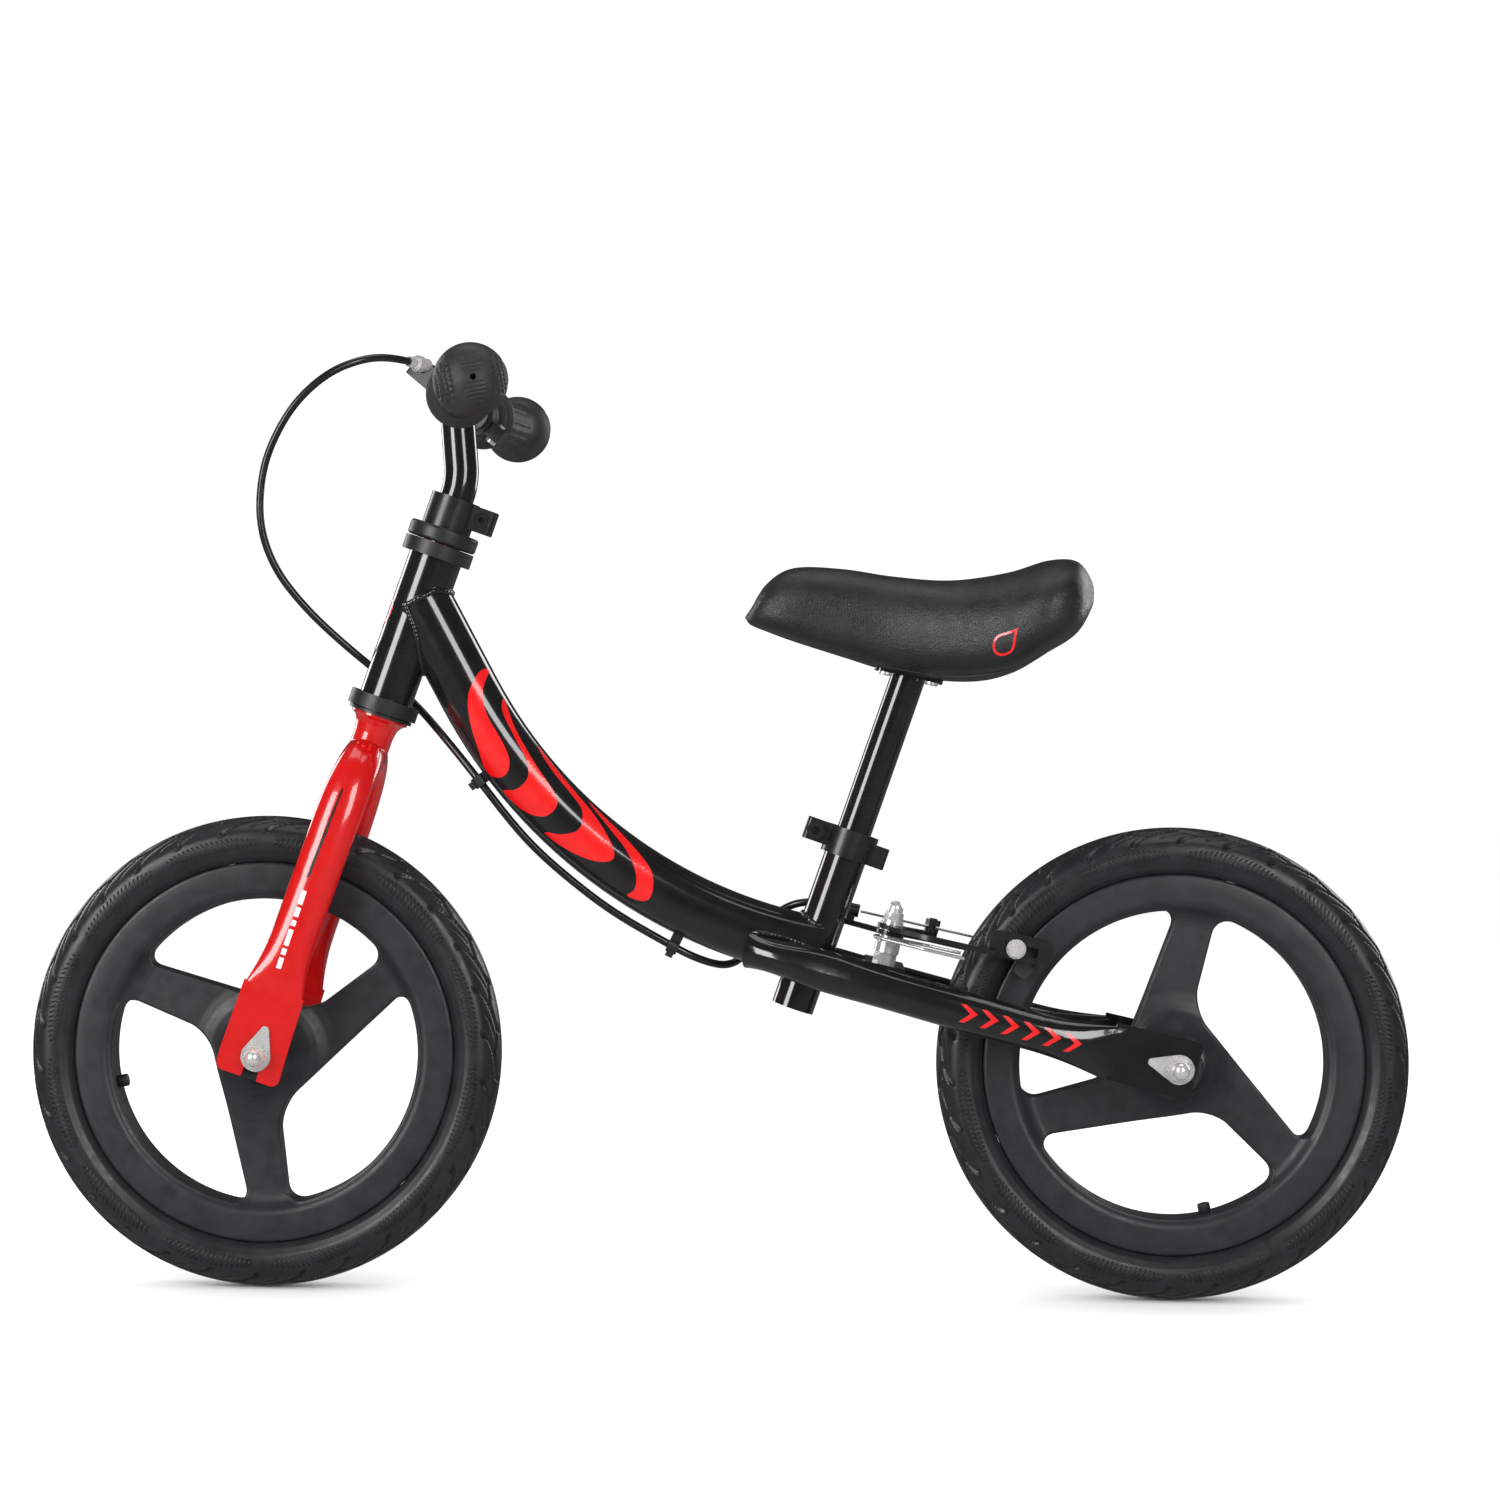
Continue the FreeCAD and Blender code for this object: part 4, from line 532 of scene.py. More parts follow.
def make_rim(name, axle, first, hand, plug, node):
    """One-piece rim with rounded spoke windows."""
    columns = 540
    profile = []
    for (r0, y0), (r1, y1) in zip(RIM_PROFILE[:-1], RIM_PROFILE[1:]):
        pieces = max(int((r1 - r0) / 1.25), 1) if 23 < r0 < 104 else 1
        profile += [(r0 + (r1 - r0) * k / pieces, y0 + (y1 - y0) * k / pieces) for k in range(pieces)]
    profile.append(RIM_PROFILE[-1])
    rows = len(profile)
    angles = np.arange(columns) / columns * TAU
    radius = np.array([p[0] for p in profile])[:, None]
    half = np.repeat(np.array([p[1] for p in profile])[:, None], columns, 1)
    flat_x, flat_z = (radius * np.cos(angles)).ravel(), (radius * np.sin(angles)).ravel()
    flat_y = half.ravel().copy()
    mid = (radius[:-1] + radius[1:]) / 2
    turn = angles + TAU / columns / 2
    gap = window_distance(mid * np.cos(turn), mid * np.sin(turn), first, hand)
    keep = ~((gap < EDGE) & (mid > 26) & (mid < 103) & (np.arange(rows - 1)[:, None] < rows - 2))
    quads = []
    border = set()
    for i in range(rows - 1):
        for j in range(columns):
            if not keep[i, j]:
                continue
            a, b = i * columns + j, i * columns + (j + 1) % columns
            quads.append((a, b, b + columns, a + columns))
            for start, end in ((a, b), (b, b + columns), (b + columns, a + columns), (a + columns, a)):
                if (end, start) in border:
                    border.remove((end, start))
                else:
                    border.add((start, end))
    edge_verts = {v for edge in border for v in edge
                  if 25 < math.hypot(flat_x[v], flat_z[v]) < 103.5 and v < (rows - 2) * columns}
    index = np.array(sorted(edge_verts))
    px, pz = flat_x[index], flat_z[index]
    step = 0.05
    for _ in range(6):
        value = window_distance(px, pz, first, hand)
        gx = (window_distance(px + step, pz, first, hand)
              - window_distance(px - step, pz, first, hand)) / (2 * step)
        gz = (window_distance(px, pz + step, first, hand)
              - window_distance(px, pz - step, first, hand)) / (2 * step)
        size = np.maximum(gx * gx + gz * gz, 0.2)
        px = px + gx * (EDGE - value) / size * 0.9
        pz = pz + gz * (EDGE - value) / size * 0.9
    length = np.hypot(gx, gz)
    gx, gz = gx / length, gz / length
    flat_x[index], flat_z[index] = px, pz
    flat_y[index] = rim_shape(np.hypot(px, pz))
    verts = [(axle[0] + x, -y, axle[2] + z) for x, y, z in zip(flat_x, flat_y, flat_z)]
    total = len(verts)
    verts += [(x, -y, z) for x, y, z in verts]
    faces = quads + [tuple(total + v for v in reversed(quad)) for quad in quads]
    steps = 5
    rings = {}
    for sign in (-1, 1):
        for k in range(1, steps + 1):
            bend = math.pi / 2 * k / steps
            out = EDGE * math.sin(bend)
            ring = {}
            for n, v in enumerate(index):
                ring[v] = len(verts)
                verts.append((axle[0] + px[n] - gx[n] * out, sign * (flat_y[v] - EDGE * (1 - math.cos(bend))),
                              axle[2] + pz[n] - gz[n] * out))
            rings[sign, k] = ring
    chain = [{v: v for v in edge_verts}] + [rings[-1, k] for k in range(1, steps + 1)]
    chain += [rings[1, k] for k in range(steps, 0, -1)] + [{v: total + v for v in edge_verts}]
    for start, end in border:
        if start in edge_verts and end in edge_verts:
            for near, far in zip(chain[:-1], chain[1:]):
                faces.append((near[end], near[start], far[start], far[end]))
    for first_vert in (0, (rows - 1) * columns):
        for j in range(columns):
            a, b = first_vert + j, first_vert + (j + 1) % columns
            faces.append((a, b, total + b, total + a))
    rim = new_object(name, verts, faces)
    bm = bmesh.new()
    bm.from_mesh(rim.data)
    bmesh.ops.delete(bm, geom=[v for v in bm.verts if not v.link_faces], context="VERTS")
    bm.to_mesh(rim.data)
    bm.free()
    tidy_normals(rim)
    body = body_of(frame["nodes"][node])[0]
    dress(rim, rim_plastic, body)
    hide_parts(node)
    out = np.array((math.cos(plug), 0, math.sin(plug)))
    line = [np.array(axle) + out * reach for reach in (94.5, 91.02, 91.0, 91.3, 92.0, 99.0)]
    cap = tube_along(name + "_plug", line, [1.9, 2.0, 3.3, 3.8, 4.0, 4.0], 32)
    dress(cap, rim_plastic, body)


make_rim("moulded_rim_front", FRONT_AXLE, FRONT_SPOKES, -1, FRONT_PLUG, "front_rim")
make_rim("moulded_rim_rear", REAR_AXLE, REAR_SPOKES, 1, REAR_PLUG, "rear_rim")


# ---- grips ----------------------------------------------------------------------------------------
BALL_RADIUS = 22.5
BALL_ROWS = 74
BALL_CENTRE = 172.0
GRIP_START = 75.0
# slits in the ball's face: height, middle and reach, as shares of its radius
GRIP_SLITS = ((0.62, 0.02, 0.24), (0.51, 0.0, 0.30), (0.40, 0.02, 0.26), (0.29, 0.04, 0.30),
              (0.20, 0.02, 0.24), (-0.17, 0.02, 0.26), (-0.28, 0.0, 0.30), (-0.39, 0.04, 0.26),
              (-0.50, 0.02, 0.28), (-0.61, 0.04, 0.20))


def ball_dent(p, q):
    """Depth of the moulded slits and dimples at p across and q up on the ball's face, mm."""
    depth = np.zeros_like(p)
    tilt = math.radians(12)
    u = p * math.cos(tilt) + q * math.sin(tilt)
    v = -p * math.sin(tilt) + q * math.cos(tilt)
    for level, centre, reach in GRIP_SLITS:
        taper = np.clip(1 - ((u - centre) / reach) ** 2, 0, 1)
        depth = np.maximum(depth, 0.75 * np.sqrt(taper) * np.exp(-((v - level) / 0.028) ** 2))
    for column, (cu, count) in enumerate(((0.60, 7), (0.72, 8), (0.83, 8), (0.92, 7))):
        for k in range(count):
            level = (k - (count - 1) / 2) * 0.155 * (1 - 0.22 * column * 0.5)
            for flip in (-1, 1):
                far = (u - flip * cu) ** 2 * (1.6 + column) + (v - level) ** 2
                depth = np.maximum(depth, 0.95 * np.exp(-far / 0.0024))
    return depth


def make_grip(name, side, node):
    """Rubber grip: stepped flange, ribbed body and a round end with slits and dimples."""
    outward = np.array((math.sin(BAR_SWEEP), side * math.cos(BAR_SWEEP), 0))
    across = np.array((math.cos(BAR_SWEEP), -side * math.sin(BAR_SWEEP), 0))
    up = np.array((0, 0, 1.0))
    origin = np.array((BAR_CENTRE_X - BAR_SWEEP_START * math.tan(BAR_SWEEP), 0, BAR_HEIGHT))
    stretch = 1 / math.cos(BAR_SWEEP)
    start = GRIP_START * stretch
    ball = BALL_CENTRE * stretch
    tube = [(0, 11.4), (0.0, 17.2), (0.9, 18.2), (2.6, 18.4), (3.2, 20.0), (4.0, 20.8), (7.0, 21.0),
            (7.8, 20.4), (8.3, 18.6), (12.0, 18.2), (13.2, 17.0), (14.2, 15.7), (16.0, 15.3)]
    tube = [(start + z, r) for z, r in tube]
    joint = ball - math.sqrt(BALL_RADIUS ** 2 - 17.0 ** 2)
    body = [(z, 15.3) for z in np.linspace(start + 17.5, joint - 6.0, 26)]
    neck = [(joint - 4.5, 15.5), (joint - 2.6, 16.0), (joint - 1.0, 16.9)]
    begin = math.atan2(17.6, joint + 0.4 - ball)
    sphere = []
    last = BALL_ROWS - 1
    for k in range(BALL_ROWS):
        angle = begin * (1 - k / last) + 0.092 * k / last
        sphere.append((ball + BALL_RADIUS * math.cos(angle), BALL_RADIUS * math.sin(angle)))
    hole = [(sphere[-1][0] - 0.6, 1.75), (sphere[-1][0] - 8.0, 1.6), (sphere[-1][0] - 8.0, 0.4)]
    profile = tube + body + neck + sphere + hole
    columns = 168
    angles = np.arange(columns) / columns * TAU
    first_ball = len(tube) + len(body) + len(neck)
    verts = []
    for i, (z, r) in enumerate(profile):
        radius = np.full(columns, r)
        if len(tube) <= i < len(tube) + len(body):
            inside = min(i - len(tube), len(tube) + len(body) - 1 - i)
            ridge = 0.55 * smoothstep(-0.3, 0.5, np.cos(angles * 18)) * smoothstep(0, 3, inside)
            radius = radius - 0.45 + ridge
        x = radius * np.cos(angles)
        y = radius * np.sin(angles)
        lift = np.zeros(columns)
        if first_ball <= i < first_ball + BALL_ROWS and z > ball - 4:
            dent = ball_dent(x / BALL_RADIUS, y / BALL_RADIUS) * smoothstep(ball - 4, ball + 2, z)
            shrink = 1 - dent / BALL_RADIUS
            x, y = x * shrink, y * shrink
            lift = -(z - ball) * dent / BALL_RADIUS
        for j in range(columns):
            verts.append(origin + outward * (z + lift[j]) + across * x[j] + up * y[j])
    faces = grid_faces(len(profile), columns)
    faces.append(tuple(range(len(profile) * columns - columns, len(profile) * columns)))
    grip = new_object(name, verts, faces)
    tidy_normals(grip)
    dress(grip, grip_rubber, "handlebar")
    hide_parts(node)


make_grip("moulded_grip_left", -1, "left_grip")
make_grip("moulded_grip_right", 1, "right_grip")


# ---- saddle ---------------------------------------------------------------------------------------
# stations along the saddle: x, lowest and highest z, and half width
SADDLE = [(17.0, 425.5, 436.0, 17.0), (27.0, 421.5, 452.0, 25.5), (44.0, 415.5, 462.2, 30.5),
          (75.0, 406.0, 462.4, 33.0), (108.0, 396.5, 458.6, 38.0), (145.0, 391.2, 456.8, 50.0),
          (180.0, 395.5, 461.5, 65.0), (205.0, 409.5, 468.8, 70.0), (223.0, 421.5, 468.5, 58.0),
          (232.5, 437.0, 457.5, 30.0)]


def make_saddle():
    """Moulded saddle under a stretched cover: smooth crown, tucked lower edge, soft creases."""
    count = 150
    around = 144
    middle = np.array(SADDLE)
    nose = middle[0].copy()
    nose[0] -= 3.2
    nose[1:3] = (middle[0][1] + middle[0][2]) / 2 - 1.5, (middle[0][1] + middle[0][2]) / 2 + 0.5
    nose[3] = 6.0
    tail = middle[-1].copy()
    tail[0] += 2.2
    tail[1:3] = (middle[-1][1] + middle[-1][2]) / 2 - 2.0, (middle[-1][1] + middle[-1][2]) / 2 + 1.0
    tail[3] = 9.0
    rows = spline(np.vstack([nose, middle, tail]), count)
    angles = np.arange(around) / around * TAU
    cosine, sine = np.cos(angles), np.sin(angles)
    verts = []
    for x, low, high, half in rows:
        widest = low + 0.42 * (high - low)
        power = np.where(sine >= 0, 2.3, 3.2)
        reach = np.where(sine >= 0, high - widest, widest - low)
        across = np.sign(cosine) * np.abs(cosine) ** (2 / power) * half
        level = widest + np.sign(sine) * np.abs(sine) ** (2 / power) * reach
        # a hollow along the middle of the seat, and creases where the cover is drawn under
        hollow = 1.6 * np.exp(-((x - 135) / 60) ** 2) * np.exp(-(across / (0.35 * half + 6)) ** 2)
        level = level - np.where(sine > 0, hollow, 0)
        tuck = np.exp(-((sine + 0.62) / 0.28) ** 2)
        crease = np.sin(x * 0.55 + 3 * np.sin(x * 0.11)) * np.sin(x * 0.23 + 1.3)
        across = across - np.sign(cosine) * tuck * 0.28 * crease
        for y, z in zip(across, level):
            verts.append((x, y, z))
    faces = grid_faces(count, around)
    first = len(verts)
    verts.append((rows[0][0] - 0.6, 0, (rows[0][1] + rows[0][2]) / 2))
    verts.append((rows[-1][0] + 0.6, 0, (rows[-1][1] + rows[-1][2]) / 2))
    for j in range(around):
        faces.append((first, (j + 1) % around, j))
        end = (count - 1) * around
        faces.append((first + 1, end + j, end + (j + 1) % around))
    saddle = new_object("leather_saddle", verts, faces)
    tidy_normals(saddle)
    dress(saddle, leather, "seat")
    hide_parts("saddle_pad")
    return saddle


saddle = make_saddle()


# ---- brake cable ----------------------------------------------------------------------------------
UPPER_LOOP = [(-208, 42, 595.5), (-218, 31, 597), (-234, 18, 595), (-256, 11, 585.5),
              (-277, 8, 566), (-291, 8, 542), (-298.5, 8.5, 519), (-299.25, 9.25, 503)]
LOWER_LOOP = [(-299.25, 9.25, 503), (-300, 10, 487), (-290, 14, 458), (-270, 19, 433),
              (-248, 24, 412.5), (-226, 28.5, 394.5), (-201, 27.5, 374.5), (-180, 15, 352.5),
              (-167.5, 7.5, 338.25)]
FRAME_RUN = [(-167.5, 7.5, 338.25), (-155, 0, 324), (-139, 0, 303.5), (-121, 0, 283), (-98, 0, 263),
             (-70, 0, 242), (-38, 0, 224), (-13, 4, 211), (7, 22, 206), (19, 36, 218),
             (30, 35, 237), (46, 27, 247.5), (63, 24.3, 248.9), (77.2, 25, 245.5)]


def cable_piece(name, points):
    """Smooth length of housing on its route."""
    curve = bpy.data.curves.new(name, "CURVE")
    curve.dimensions = "3D"
    curve.bevel_depth = 2.5 * MM
    curve.bevel_resolution = 6
    curve.use_fill_caps = True
    curve.resolution_u = 14
    line = curve.splines.new("NURBS")
    line.points.add(len(points) - 1)
    for point, (x, y, z) in zip(line.points, points):
        point.co = (x * MM, y * MM, z * MM, 1)
    line.use_endpoint_u = True
    line.order_u = 3
    source = bpy.data.objects.new(name + ".route", curve)
    bpy.context.scene.collection.objects.link(source)
    bpy.context.view_layer.update()
    mesh = bpy.data.meshes.new_from_object(source.evaluated_get(bpy.context.evaluated_depsgraph_get()))
    bpy.data.objects.remove(source)
    mesh.polygons.foreach_set("use_smooth", [True] * len(mesh.polygons))
    obj = bpy.data.objects.new(name, mesh)
    bpy.context.scene.collection.objects.link(obj)
    dress(obj, housing_vinyl, None)
    return obj


def metres(point):
    """A point in millimetres as a vector in metres."""
    return Vector(point) * MM


upper = cable_piece("brake_cable_upper", UPPER_LOOP)
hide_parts("upper_cable_loop")
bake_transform(upper, "handlebar", "fork", start=metres(UPPER_LOOP[0]), end=metres(UPPER_LOOP[-1]))
lower = cable_piece("brake_cable_lower", LOWER_LOOP)
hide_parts("lower_cable_loop")
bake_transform(lower, "fork", "frame", start=metres(LOWER_LOOP[0]), end=metres(LOWER_LOOP[-1]))
run = cable_piece("brake_cable_frame", FRAME_RUN)
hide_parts("frame_cable_housing")
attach(run, "frame")


# ---- welds ----------------------------------------------------------------------------------------
def main_tube_distance(point):
    """Distance of a point from the main tube's centreline."""
    offset = point - MAIN_ARC_CENTRE
    angle = math.atan2(offset[0], -offset[2])
    if angle < -MAIN_SLOPE:
        away = point - MAIN_ARC_START
        return np.linalg.norm(away - MAIN_DOWN * away.dot(MAIN_DOWN))
    return math.hypot(math.hypot(offset[0], offset[2]) - MAIN_ARC_RADIUS, offset[1])


BEAD_RIPPLE = 2.6
STEM_WELD_RADIUS = 11.3
BAR_SEAT_RADIUS = 11.4


def bead(name, points, width, body="frame"):
    """Weld bead: a rippled ridge along a line of points."""
    pts = spline(points, max(len(points) * 4, 60))
    step = np.linalg.norm(np.diff(pts, axis=0), axis=1)
    along = np.concatenate(([0], np.cumsum(step)))
    total = along[-1]
    count = max(int(total / 0.55), 24)
    even = np.stack([np.interp(np.linspace(0, total, count), along, pts[:, k]) for k in range(3)], 1)
    phase = np.linspace(0, total, count) / BEAD_RIPPLE
    radii = width * (0.92 + 0.16 * np.abs(np.sin(math.pi * phase)))
    ends = np.minimum(np.arange(count), np.arange(count)[::-1])
    radii = radii * (0.35 + 0.65 * smoothstep(0, 7, ends))
    dress(tube_along(name, even, radii, 12), black_gloss, body)


def march(point_at, low, high, target):
    """Parameter between low and high where the main tube's surface is met, or None."""
    values = np.linspace(high, low, 90)
    before = None
    for value in values:
        gap = main_tube_distance(point_at(value)) - target
        if gap <= 0:
            return None if before is None else (value + before) / 2
        before = value
    return None


def make_welds():
    """Beads at the head tube, seat tube and chainstays."""
    line = []
    for k in range(72):
        angle = TAU * k / 72
        round_tube = MAIN_OUTER * math.cos(angle) + np.array((0, 1, 0)) * math.sin(angle)
        origin = MAIN_ARC_START + MAIN_RADIUS * round_tube
        reach = MAIN_STRAIGHT
        for t in np.linspace(0, MAIN_STRAIGHT, 400):
            away = origin - MAIN_DOWN * t - STEER_ORIGIN
            if np.linalg.norm(away - STEER_Z * away.dot(STEER_Z)) <= HEAD_RADIUS + 0.3:
                reach = t
                break
        line.append(origin - MAIN_DOWN * reach)
    bead("weld_head", line + line[:1], 1.9)
    for tag, low, high in (("upper", 26.0, 90.0), ("lower", 24.0, 0.0)):
        line = []
        for k in range(61):
            angle = math.radians(-150 + 300 * k / 60)
            side = -SEAT_X * math.cos(angle) + np.array((0, 1, 0)) * math.sin(angle)
            foot = SEAT_ORIGIN + side * SEAT_TUBE_RADIUS
            found = march(lambda s: foot + SEAT_Z * s, low, high, MAIN_RADIUS)
            if found is not None:
                point = foot + SEAT_Z * found
                if point[0] < MAIN_END_X + 3:
                    line.append(point)
        runs = [line[:1]]
        for point in line[1:]:
            if np.linalg.norm(point - runs[-1][-1]) < 5:
                runs[-1].append(point)
            else:
                runs.append([point])
        line = max(runs, key=len)
        if len(line) > 8:
            bead("weld_seat_" + tag, line, 1.8)
    centre = spline([(20, 13), (55, 26.5), (95, 38), (140, 42.6)], 120)
    for side, tag in ((-1, "left"), (1, "right")):
        line = []
        for k in range(73):
            angle = TAU * k / 72

            def point_at(x):
                y = np.interp(x, centre[:, 0], centre[:, 1])
                slope = np.interp(x + 3, centre[:, 0], centre[:, 1]) - y
                along = np.array((3.0, side * slope, -0.8))
                along /= np.linalg.norm(along)
                up = np.array((0, 0, 1.0))
                out = np.cross(along, up)
                out /= np.linalg.norm(out)
                rise = np.cross(out, along)
                return (np.array((x, side * y, stay_height(x)))
                        + STAY_RADIUS * (out * math.cos(angle) + rise * math.sin(angle)))
            found = march(point_at, 20.0, 95.0, MAIN_RADIUS)
            if found is not None and found < MAIN_END_X:
                line.append(point_at(found))
        if len(line) > 8:
            gaps = [np.linalg.norm(line[i] - line[i - 1]) for i in range(len(line))]
            cut = int(np.argmax(gaps))
            bead("weld_stay_" + tag, line[cut:] + line[:cut], 1.7)


def make_stem_weld():
    """Bead round the stem where it is coped to the crossbar."""
    line = []
    for k in range(64):
        angle = TAU * k / 64
        x, y = STEM_WELD_RADIUS * math.cos(angle), STEM_WELD_RADIUS * math.sin(angle)
        drop = math.sqrt(max(BAR_SEAT_RADIUS ** 2 - x * x, 0.0))
        line.append(np.array((BAR_CENTRE_X + x, y, BAR_HEIGHT - drop)))
    bead("weld_stem", line + line[:1], 1.5, "handlebar")


make_welds()
make_stem_weld()


# ---- decals ---------------------------------------------------------------------------------------
def surface_tree(nodes):
    """Search tree over some of the shown meshes."""
    verts, faces = [], []
    for obj in nodes:
        base = len(verts)
        verts += [v.co.copy() for v in obj.data.vertices]
        faces += [tuple(base + i for i in p.vertices) for p in obj.data.polygons]
    return BVHTree.FromPolygons(verts, faces)


def from_side(side):
    """Way of dropping a side-view point (x, z, mm) on a surface from one side of the bike."""
    return lambda u, v: (Vector((u * MM, side * 0.4, v * MM)), Vector((0, -side, 0)))


def decal(name, outline, nodes, cast, material, body, hole=None, cell=2.2, lift=0.16):
    """Thin film on a surface: a flat outline in millimetres dropped on it along straight lines."""
    bm = bmesh.new()
    edges = []
    for loop in [outline] + ([hole] if hole else []):
        corners = [bm.verts.new((u, v, 0)) for u, v in loop]
        edges += [bm.edges.new((corners[i], corners[(i + 1) % len(corners)])) for i in range(len(corners))]
    bmesh.ops.triangle_fill(bm, use_beauty=True, use_dissolve=False, edges=edges, normal=(0, 0, 1))
    for axis in (0, 1):
        values = [point[axis] for point in outline]
        value = min(values) + cell
        while value < max(values):
            at = Vector((value, value, 0))
            way = Vector((1 - axis, axis, 0))
            geometry = bm.verts[:] + bm.edges[:] + bm.faces[:]
            bmesh.ops.bisect_plane(bm, geom=geometry, plane_co=at, plane_no=way, dist=1e-4)
            value += cell
    tree = surface_tree(nodes)
    lost = []
    for vert in bm.verts:
        start, way = cast(vert.co.x, vert.co.y)
        hit, normal, _, _ = tree.ray_cast(start, way)
        if hit is None:
            lost.append(vert)
            continue
        if normal.dot(way) > 0:
            normal = -normal
        vert.co = hit + normal * lift * MM
    bmesh.ops.delete(bm, geom=lost, context="VERTS")
    bmesh.ops.delete(bm, geom=[v for v in bm.verts if not v.link_faces], context="VERTS")
    for face in bm.faces:
        face.normal_update()
        if face.normal.dot(way) > 0:
            face.normal_flip()
        face.smooth = True
    mesh = bpy.data.meshes.new(name)
    bm.to_mesh(mesh)
    bm.free()
    obj = bpy.data.objects.new(name, mesh)
    bpy.context.scene.collection.objects.link(obj)
    dress(obj, material, body)
    return obj


def on_main(angle, height):
    """Point of the side view at an angle along the main tube's arc and a height across it."""
    reach = MAIN_ARC_RADIUS + height
    turn = math.radians(angle)
    return (MAIN_ARC_CENTRE[0] + reach * math.sin(turn), MAIN_ARC_CENTRE[2] - reach * math.cos(turn))


# The flames: closed outlines in degrees along the arc and millimetres across the tube.
# OPEN FAULT: they were traced from the reference picture by a scratch script and thinned by hand, so they
# copy its graphic. A plain pattern worked out by a formula should take their place.
FLAMES = [
    [(-62.6, -18.6), (-63.0, -14.5), (-62.4, -8.5), (-61.0, 0), (-58.5, 7), (-55.0, 13), (-53.0, 16.6),
     (-51.6, 14.5), (-51.1, 7), (-52.2, 0), (-54.5, -3), (-58.0, -4.2), (-60.4, -8.5), (-61.7, -14)],
    [(-58.6, -18), (-57.4, -13.2), (-54.0, -10.7), (-51.0, -8), (-49.4, -3), (-49.0, 4), (-49.2, 10),
     (-49.9, 15.8), (-48.0, 15.6), (-46.0, 12.5), (-44.6, 6), (-44.5, -3),
     (-45.8, -8), (-50.0, -11), (-55.0, -14.2)],
    [(-51.6, -18.6), (-48.5, -16.2), (-44.6, -14.8), (-42.2, -12.6), (-41.0, -6), (-40.9, 0),
     (-41.9, 7.5), (-43.4, 14.4), (-40.4, 12.6), (-37.4, 7.6), (-35.7, 1),
     (-35.9, -5), (-38.2, -11.6), (-41.6, -16), (-46.8, -18.2)],
    [(-42.2, -18.6), (-38.5, -15.2), (-35.2, -11), (-33.2, -5.4), (-32.0, 1), (-31.6, 7.6), (-31.9, 13),
     (-30.1, 10.6), (-29.6, 5), (-30.4, -5), (-32.2, -11.4), (-36.6, -16.8)],
]
SIDES = ((-1, "left"), (1, "right"))
DASH_HALF_WIDTH = 1.5
NODES = frame["nodes"]


def drop_loop(centre, size, turn, count=56):
    """Closed outline of a rounded drop with its tip along turn."""
    loop = []
    for k in range(count):
        angle = TAU * k / count
        u = size * (0.62 * math.cos(angle) + 0.30 * math.cos(angle) ** 3 + 0.12)
        v = size * 0.78 * math.sin(angle) * math.sin((angle % TAU) / 2) ** 1.1
        loop.append((centre[0] + u * math.cos(turn) - v * math.sin(turn),
                     centre[1] + u * math.sin(turn) + v * math.cos(turn)))
    return loop


def make_decals():
    """Flames, stay chevrons, fork dashes and the outlined drops."""
    for index, outline in enumerate(FLAMES):
        points = [on_main(a, h) for a, h in spline(outline, 110, True)]
        for side, tag in SIDES:
            decal("flame_%s_%d" % (tag, index + 1), points, [NODES["main_tube"]], from_side(side), red_decal,
                  "frame")
    for side, tag in SIDES:
        stay = [NODES[tag + "_chainstay"]]
        for k in range(6):
            x = 157.0 + 13.0 * k
            z = stay_height(x)
            chevron = [(x - 5, z + 6.2), (x - 1.6, z + 5.6), (x + 5.6, z - 0.6), (x - 3.0, z - 5.6),
                       (x - 6.4, z - 5.0), (x + 0.8, z - 0.2)]
            decal("stay_chevron_%s_%d" % (tag, k + 1), chevron, stay, from_side(side), red_decal, "frame")
        blade = [NODES[tag + "_fork_blade"]]
        line = [(-237.6, 318.5), (-236.6, 318.0), (-246.2, 290.0), (-256.6, 262.5), (-258.6, 262.5),
                (-248.2, 290.0)]
        decal("fork_line_" + tag, line, blade, from_side(side), black_decal, "fork")
        along = np.array((-20.0, -63.0)) / math.hypot(20, 63)
        across = np.array((-along[1], along[0]))
        top = np.array((-258.5, 257.0))
        # plain white dashes of uneven length
        for k, (begin, end) in enumerate(((3, 12), (14, 20), (22.5, 26), (28.5, 39), (41, 45), (47, 54))):
            a = top + along * begin
            b = top + along * end
            half = across * DASH_HALF_WIDTH
            bar = [tuple(a - half), tuple(b - half), tuple(b + half), tuple(a + half)]
            decal("fork_dash_%s_%d" % (tag, k + 1), bar, blade, from_side(side), white_decal, "fork")
        decal("saddle_mark_" + tag, drop_loop((176.5, 414.5), 11.5, math.radians(50)), [saddle],
              from_side(side), red_decal, "seat",
              hole=drop_loop((176.2, 414.2), 9.0, math.radians(50)))

    def head_front(u, v):
        start = STEER_ORIGIN + STEER_Z * v - STEER_X * 60 + np.array((0, u, 0))
        return Vector(start) * MM, Vector(STEER_X)
    decal("head_mark", drop_loop((0, 56), 17.5, math.radians(90)), [NODES["head_tube"]], head_front,
          red_decal, "frame", hole=drop_loop((0, 55.6), 14.2, math.radians(90)))


make_decals()


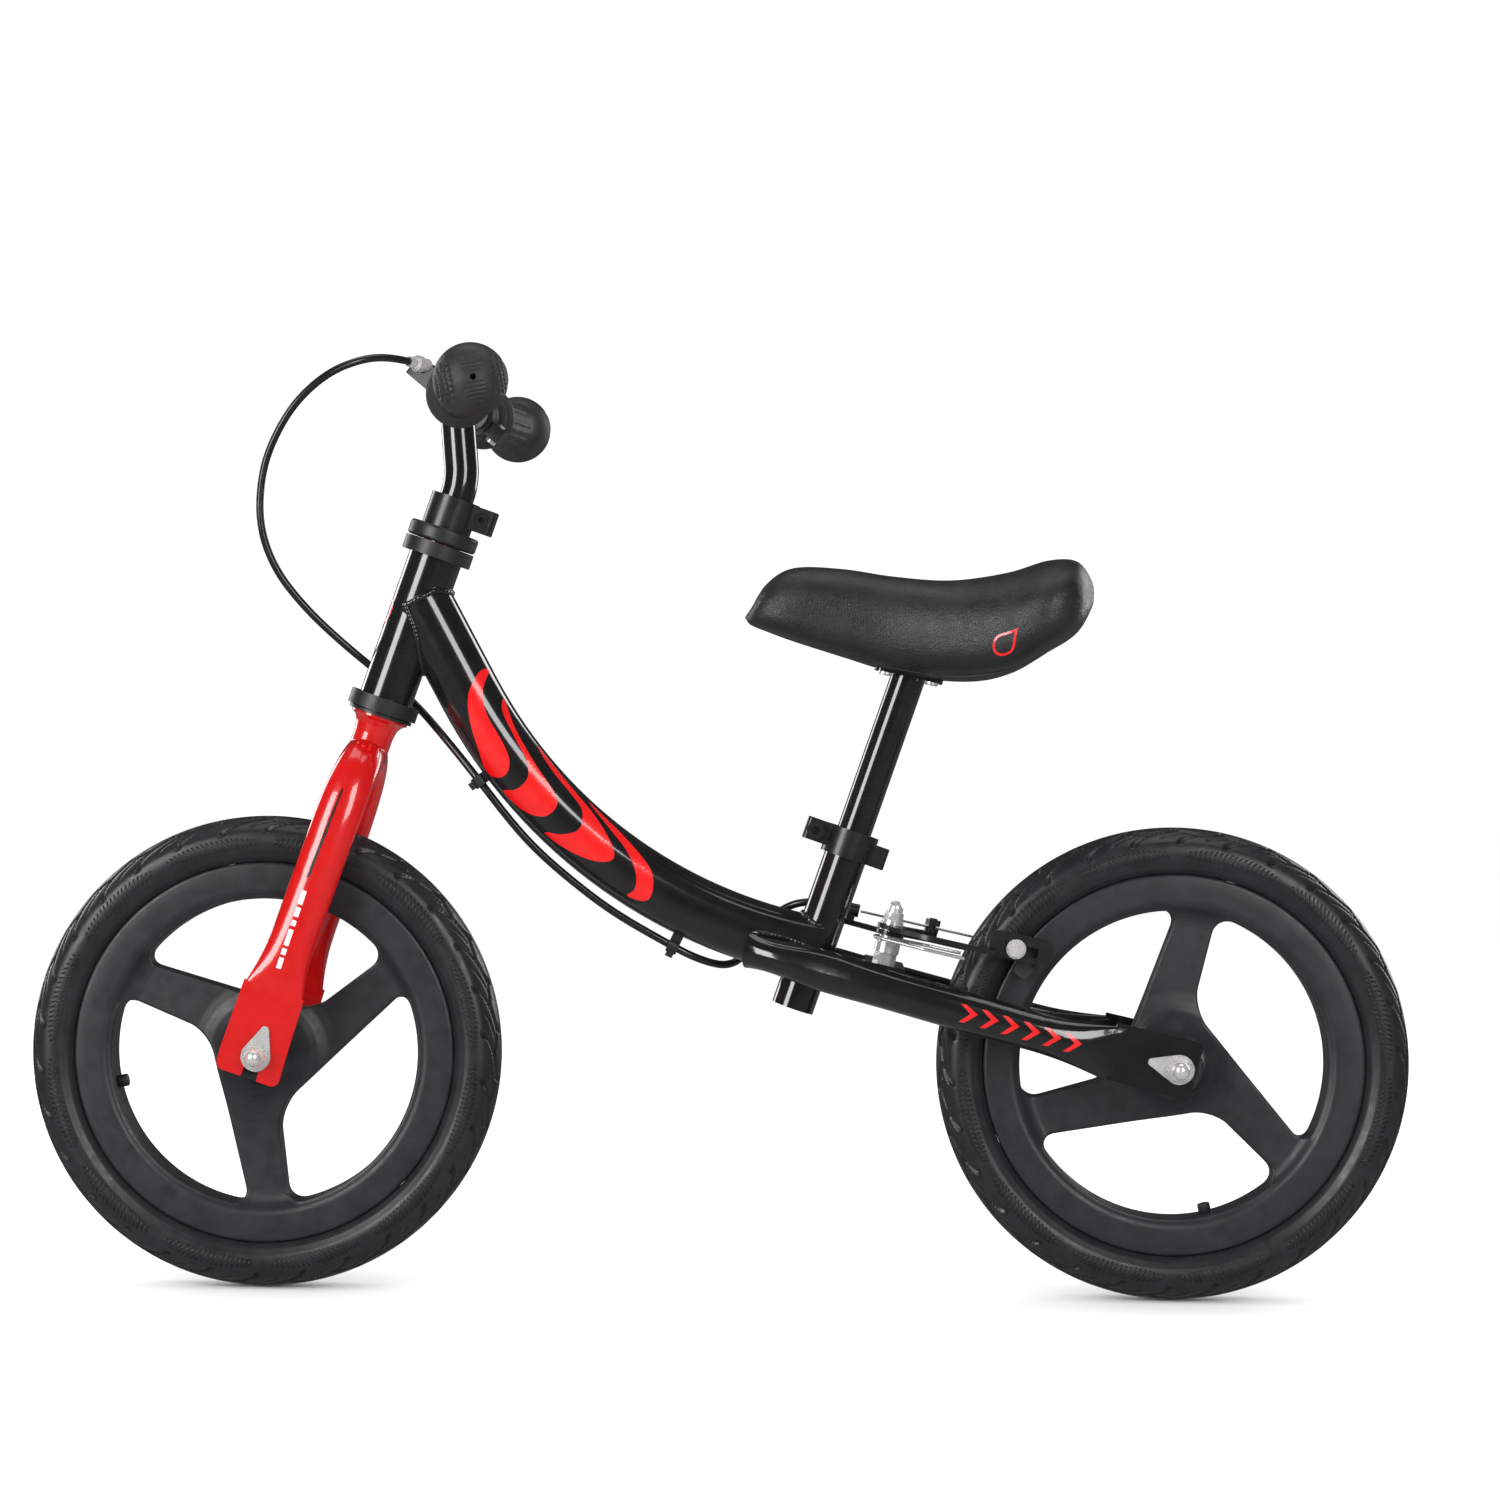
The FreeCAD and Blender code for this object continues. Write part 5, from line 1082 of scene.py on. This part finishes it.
# ---- small trim -----------------------------------------------------------------------------------
def make_crimp():
    """Crimped cap on the end of the brake's inner wire."""
    lean = math.radians(12)
    out = np.array((math.cos(lean), 0, -math.sin(lean)))
    rise = np.array((math.sin(lean), 0, math.cos(lean)))
    base = np.array((104.5, 25.0, 212.0)) + out * 58 + rise * 27.0
    line = [base + out * d for d in (0, 0.4, 1, 2.6, 3.2, 4.4, 5.0, 7.4, 8.6, 9.2)]
    crimp = tube_along("wire_crimp", line, [0.9, 1.3, 1.45, 1.45, 1.15, 1.15, 1.45, 1.45, 1.0, 0.35], 20)
    dress(crimp, zinc, "left_caliper")


make_crimp()


# ---- stage, light and camera ----------------------------------------------------------------------
def make_floor():
    """Plain white floor."""
    floor = new_object("floor", [(-15000, -15000, -0.4), (15000, -15000, -0.4), (15000, 15000, -0.4),
                                 (-15000, 15000, -0.4)], [(0, 1, 2, 3)], False)
    paint = surface("floor_white", (0.905, 0.905, 0.905), 0.9, specular=0.0, colour_drift=0.0,
                    rough_drift=0.02)
    floor.data.materials.append(paint)
    floor.visible_glossy = False


def softbox(name, place, target, wide, high, radiance):
    """Rectangular area light of a given brightness, turned to a target."""
    light = bpy.data.lights.new(name, "AREA")
    light.shape = "RECTANGLE"
    light.size = wide
    light.size_y = high
    light.energy = radiance * math.pi * wide * high
    obj = bpy.data.objects.new(name, light)
    obj.location = place
    obj.rotation_euler = (Vector(target) - Vector(place)).to_track_quat("-Z", "Y").to_euler()
    obj.visible_camera = False
    bpy.context.scene.collection.objects.link(obj)


def make_world():
    """White surroundings that stay dark in reflections."""
    world = bpy.data.worlds.new("studio")
    bpy.context.scene.world = world
    world.use_nodes = True
    nodes = world.node_tree.nodes
    links = world.node_tree.links
    background = nodes["Background"]
    path = nodes.new("ShaderNodeLightPath")
    coordinate = nodes.new("ShaderNodeTexCoord")
    split = nodes.new("ShaderNodeSeparateXYZ")
    links.new(coordinate.outputs["Generated"], split.inputs["Vector"])
    ramp = nodes.new("ShaderNodeMapRange")
    ramp.inputs["From Min"].default_value = -0.5
    ramp.inputs["From Max"].default_value = 0.05
    ramp.inputs["To Min"].default_value = 0.22
    ramp.inputs["To Max"].default_value = 0.035
    links.new(split.outputs["Z"], ramp.inputs["Value"])
    mix = nodes.new("ShaderNodeMix")
    mix.data_type = "FLOAT"
    mix.inputs["A"].default_value = 1.1
    links.new(path.outputs["Is Glossy Ray"], mix.inputs["Factor"])
    links.new(ramp.outputs["Result"], mix.inputs["B"])
    links.new(mix.outputs["Result"], background.inputs["Strength"])
    background.inputs["Color"].default_value = (1, 1, 1, 1)


CAMERA_PLACE = (0.0657, -2.4, 0.3458)
CAMERA_LENS = 90.34


def make_camera():
    """Camera low on the bike's left side, level, with a slight roll."""
    yaw, roll = math.radians(1.15), math.radians(0.72)
    forward = Vector((-math.sin(yaw), math.cos(yaw), 0))
    flat = Vector((math.cos(yaw), math.sin(yaw), 0))
    sky = Vector((0, 0, 1))
    right = flat * math.cos(roll) + sky * math.sin(roll)
    up = sky * math.cos(roll) - flat * math.sin(roll)
    data = bpy.data.cameras.new("camera")
    data.lens = CAMERA_LENS
    data.sensor_width = 36.0
    data.clip_end = 60.0
    camera = bpy.data.objects.new("camera", data)
    bpy.context.scene.collection.objects.link(camera)
    turn = Matrix((right, up, -forward)).transposed()
    camera.matrix_world = Matrix.Translation(CAMERA_PLACE) @ turn.to_4x4()
    bpy.context.scene.camera = camera


make_floor()
make_world()
make_camera()
CENTRE = (0.0, 0.0, 0.35)
softbox("front_left", (-1.50, -1.70, 0.95), CENTRE, 0.85, 1.5, 8.0)
softbox("front_right", (1.15, -2.05, 1.05), CENTRE, 0.75, 1.3, 6.5)
softbox("overhead", (0.1, 0.3, 2.6), CENTRE, 2.2, 1.2, 1.4)
softbox("back_left", (-1.9, 1.7, 1.0), CENTRE, 0.8, 1.5, 4.0)
softbox("back_right", (1.7, 1.9, 1.0), CENTRE, 0.8, 1.5, 4.0)
bpy.context.scene.view_settings.view_transform = "Standard"
bpy.context.scene.view_settings.look = "None"
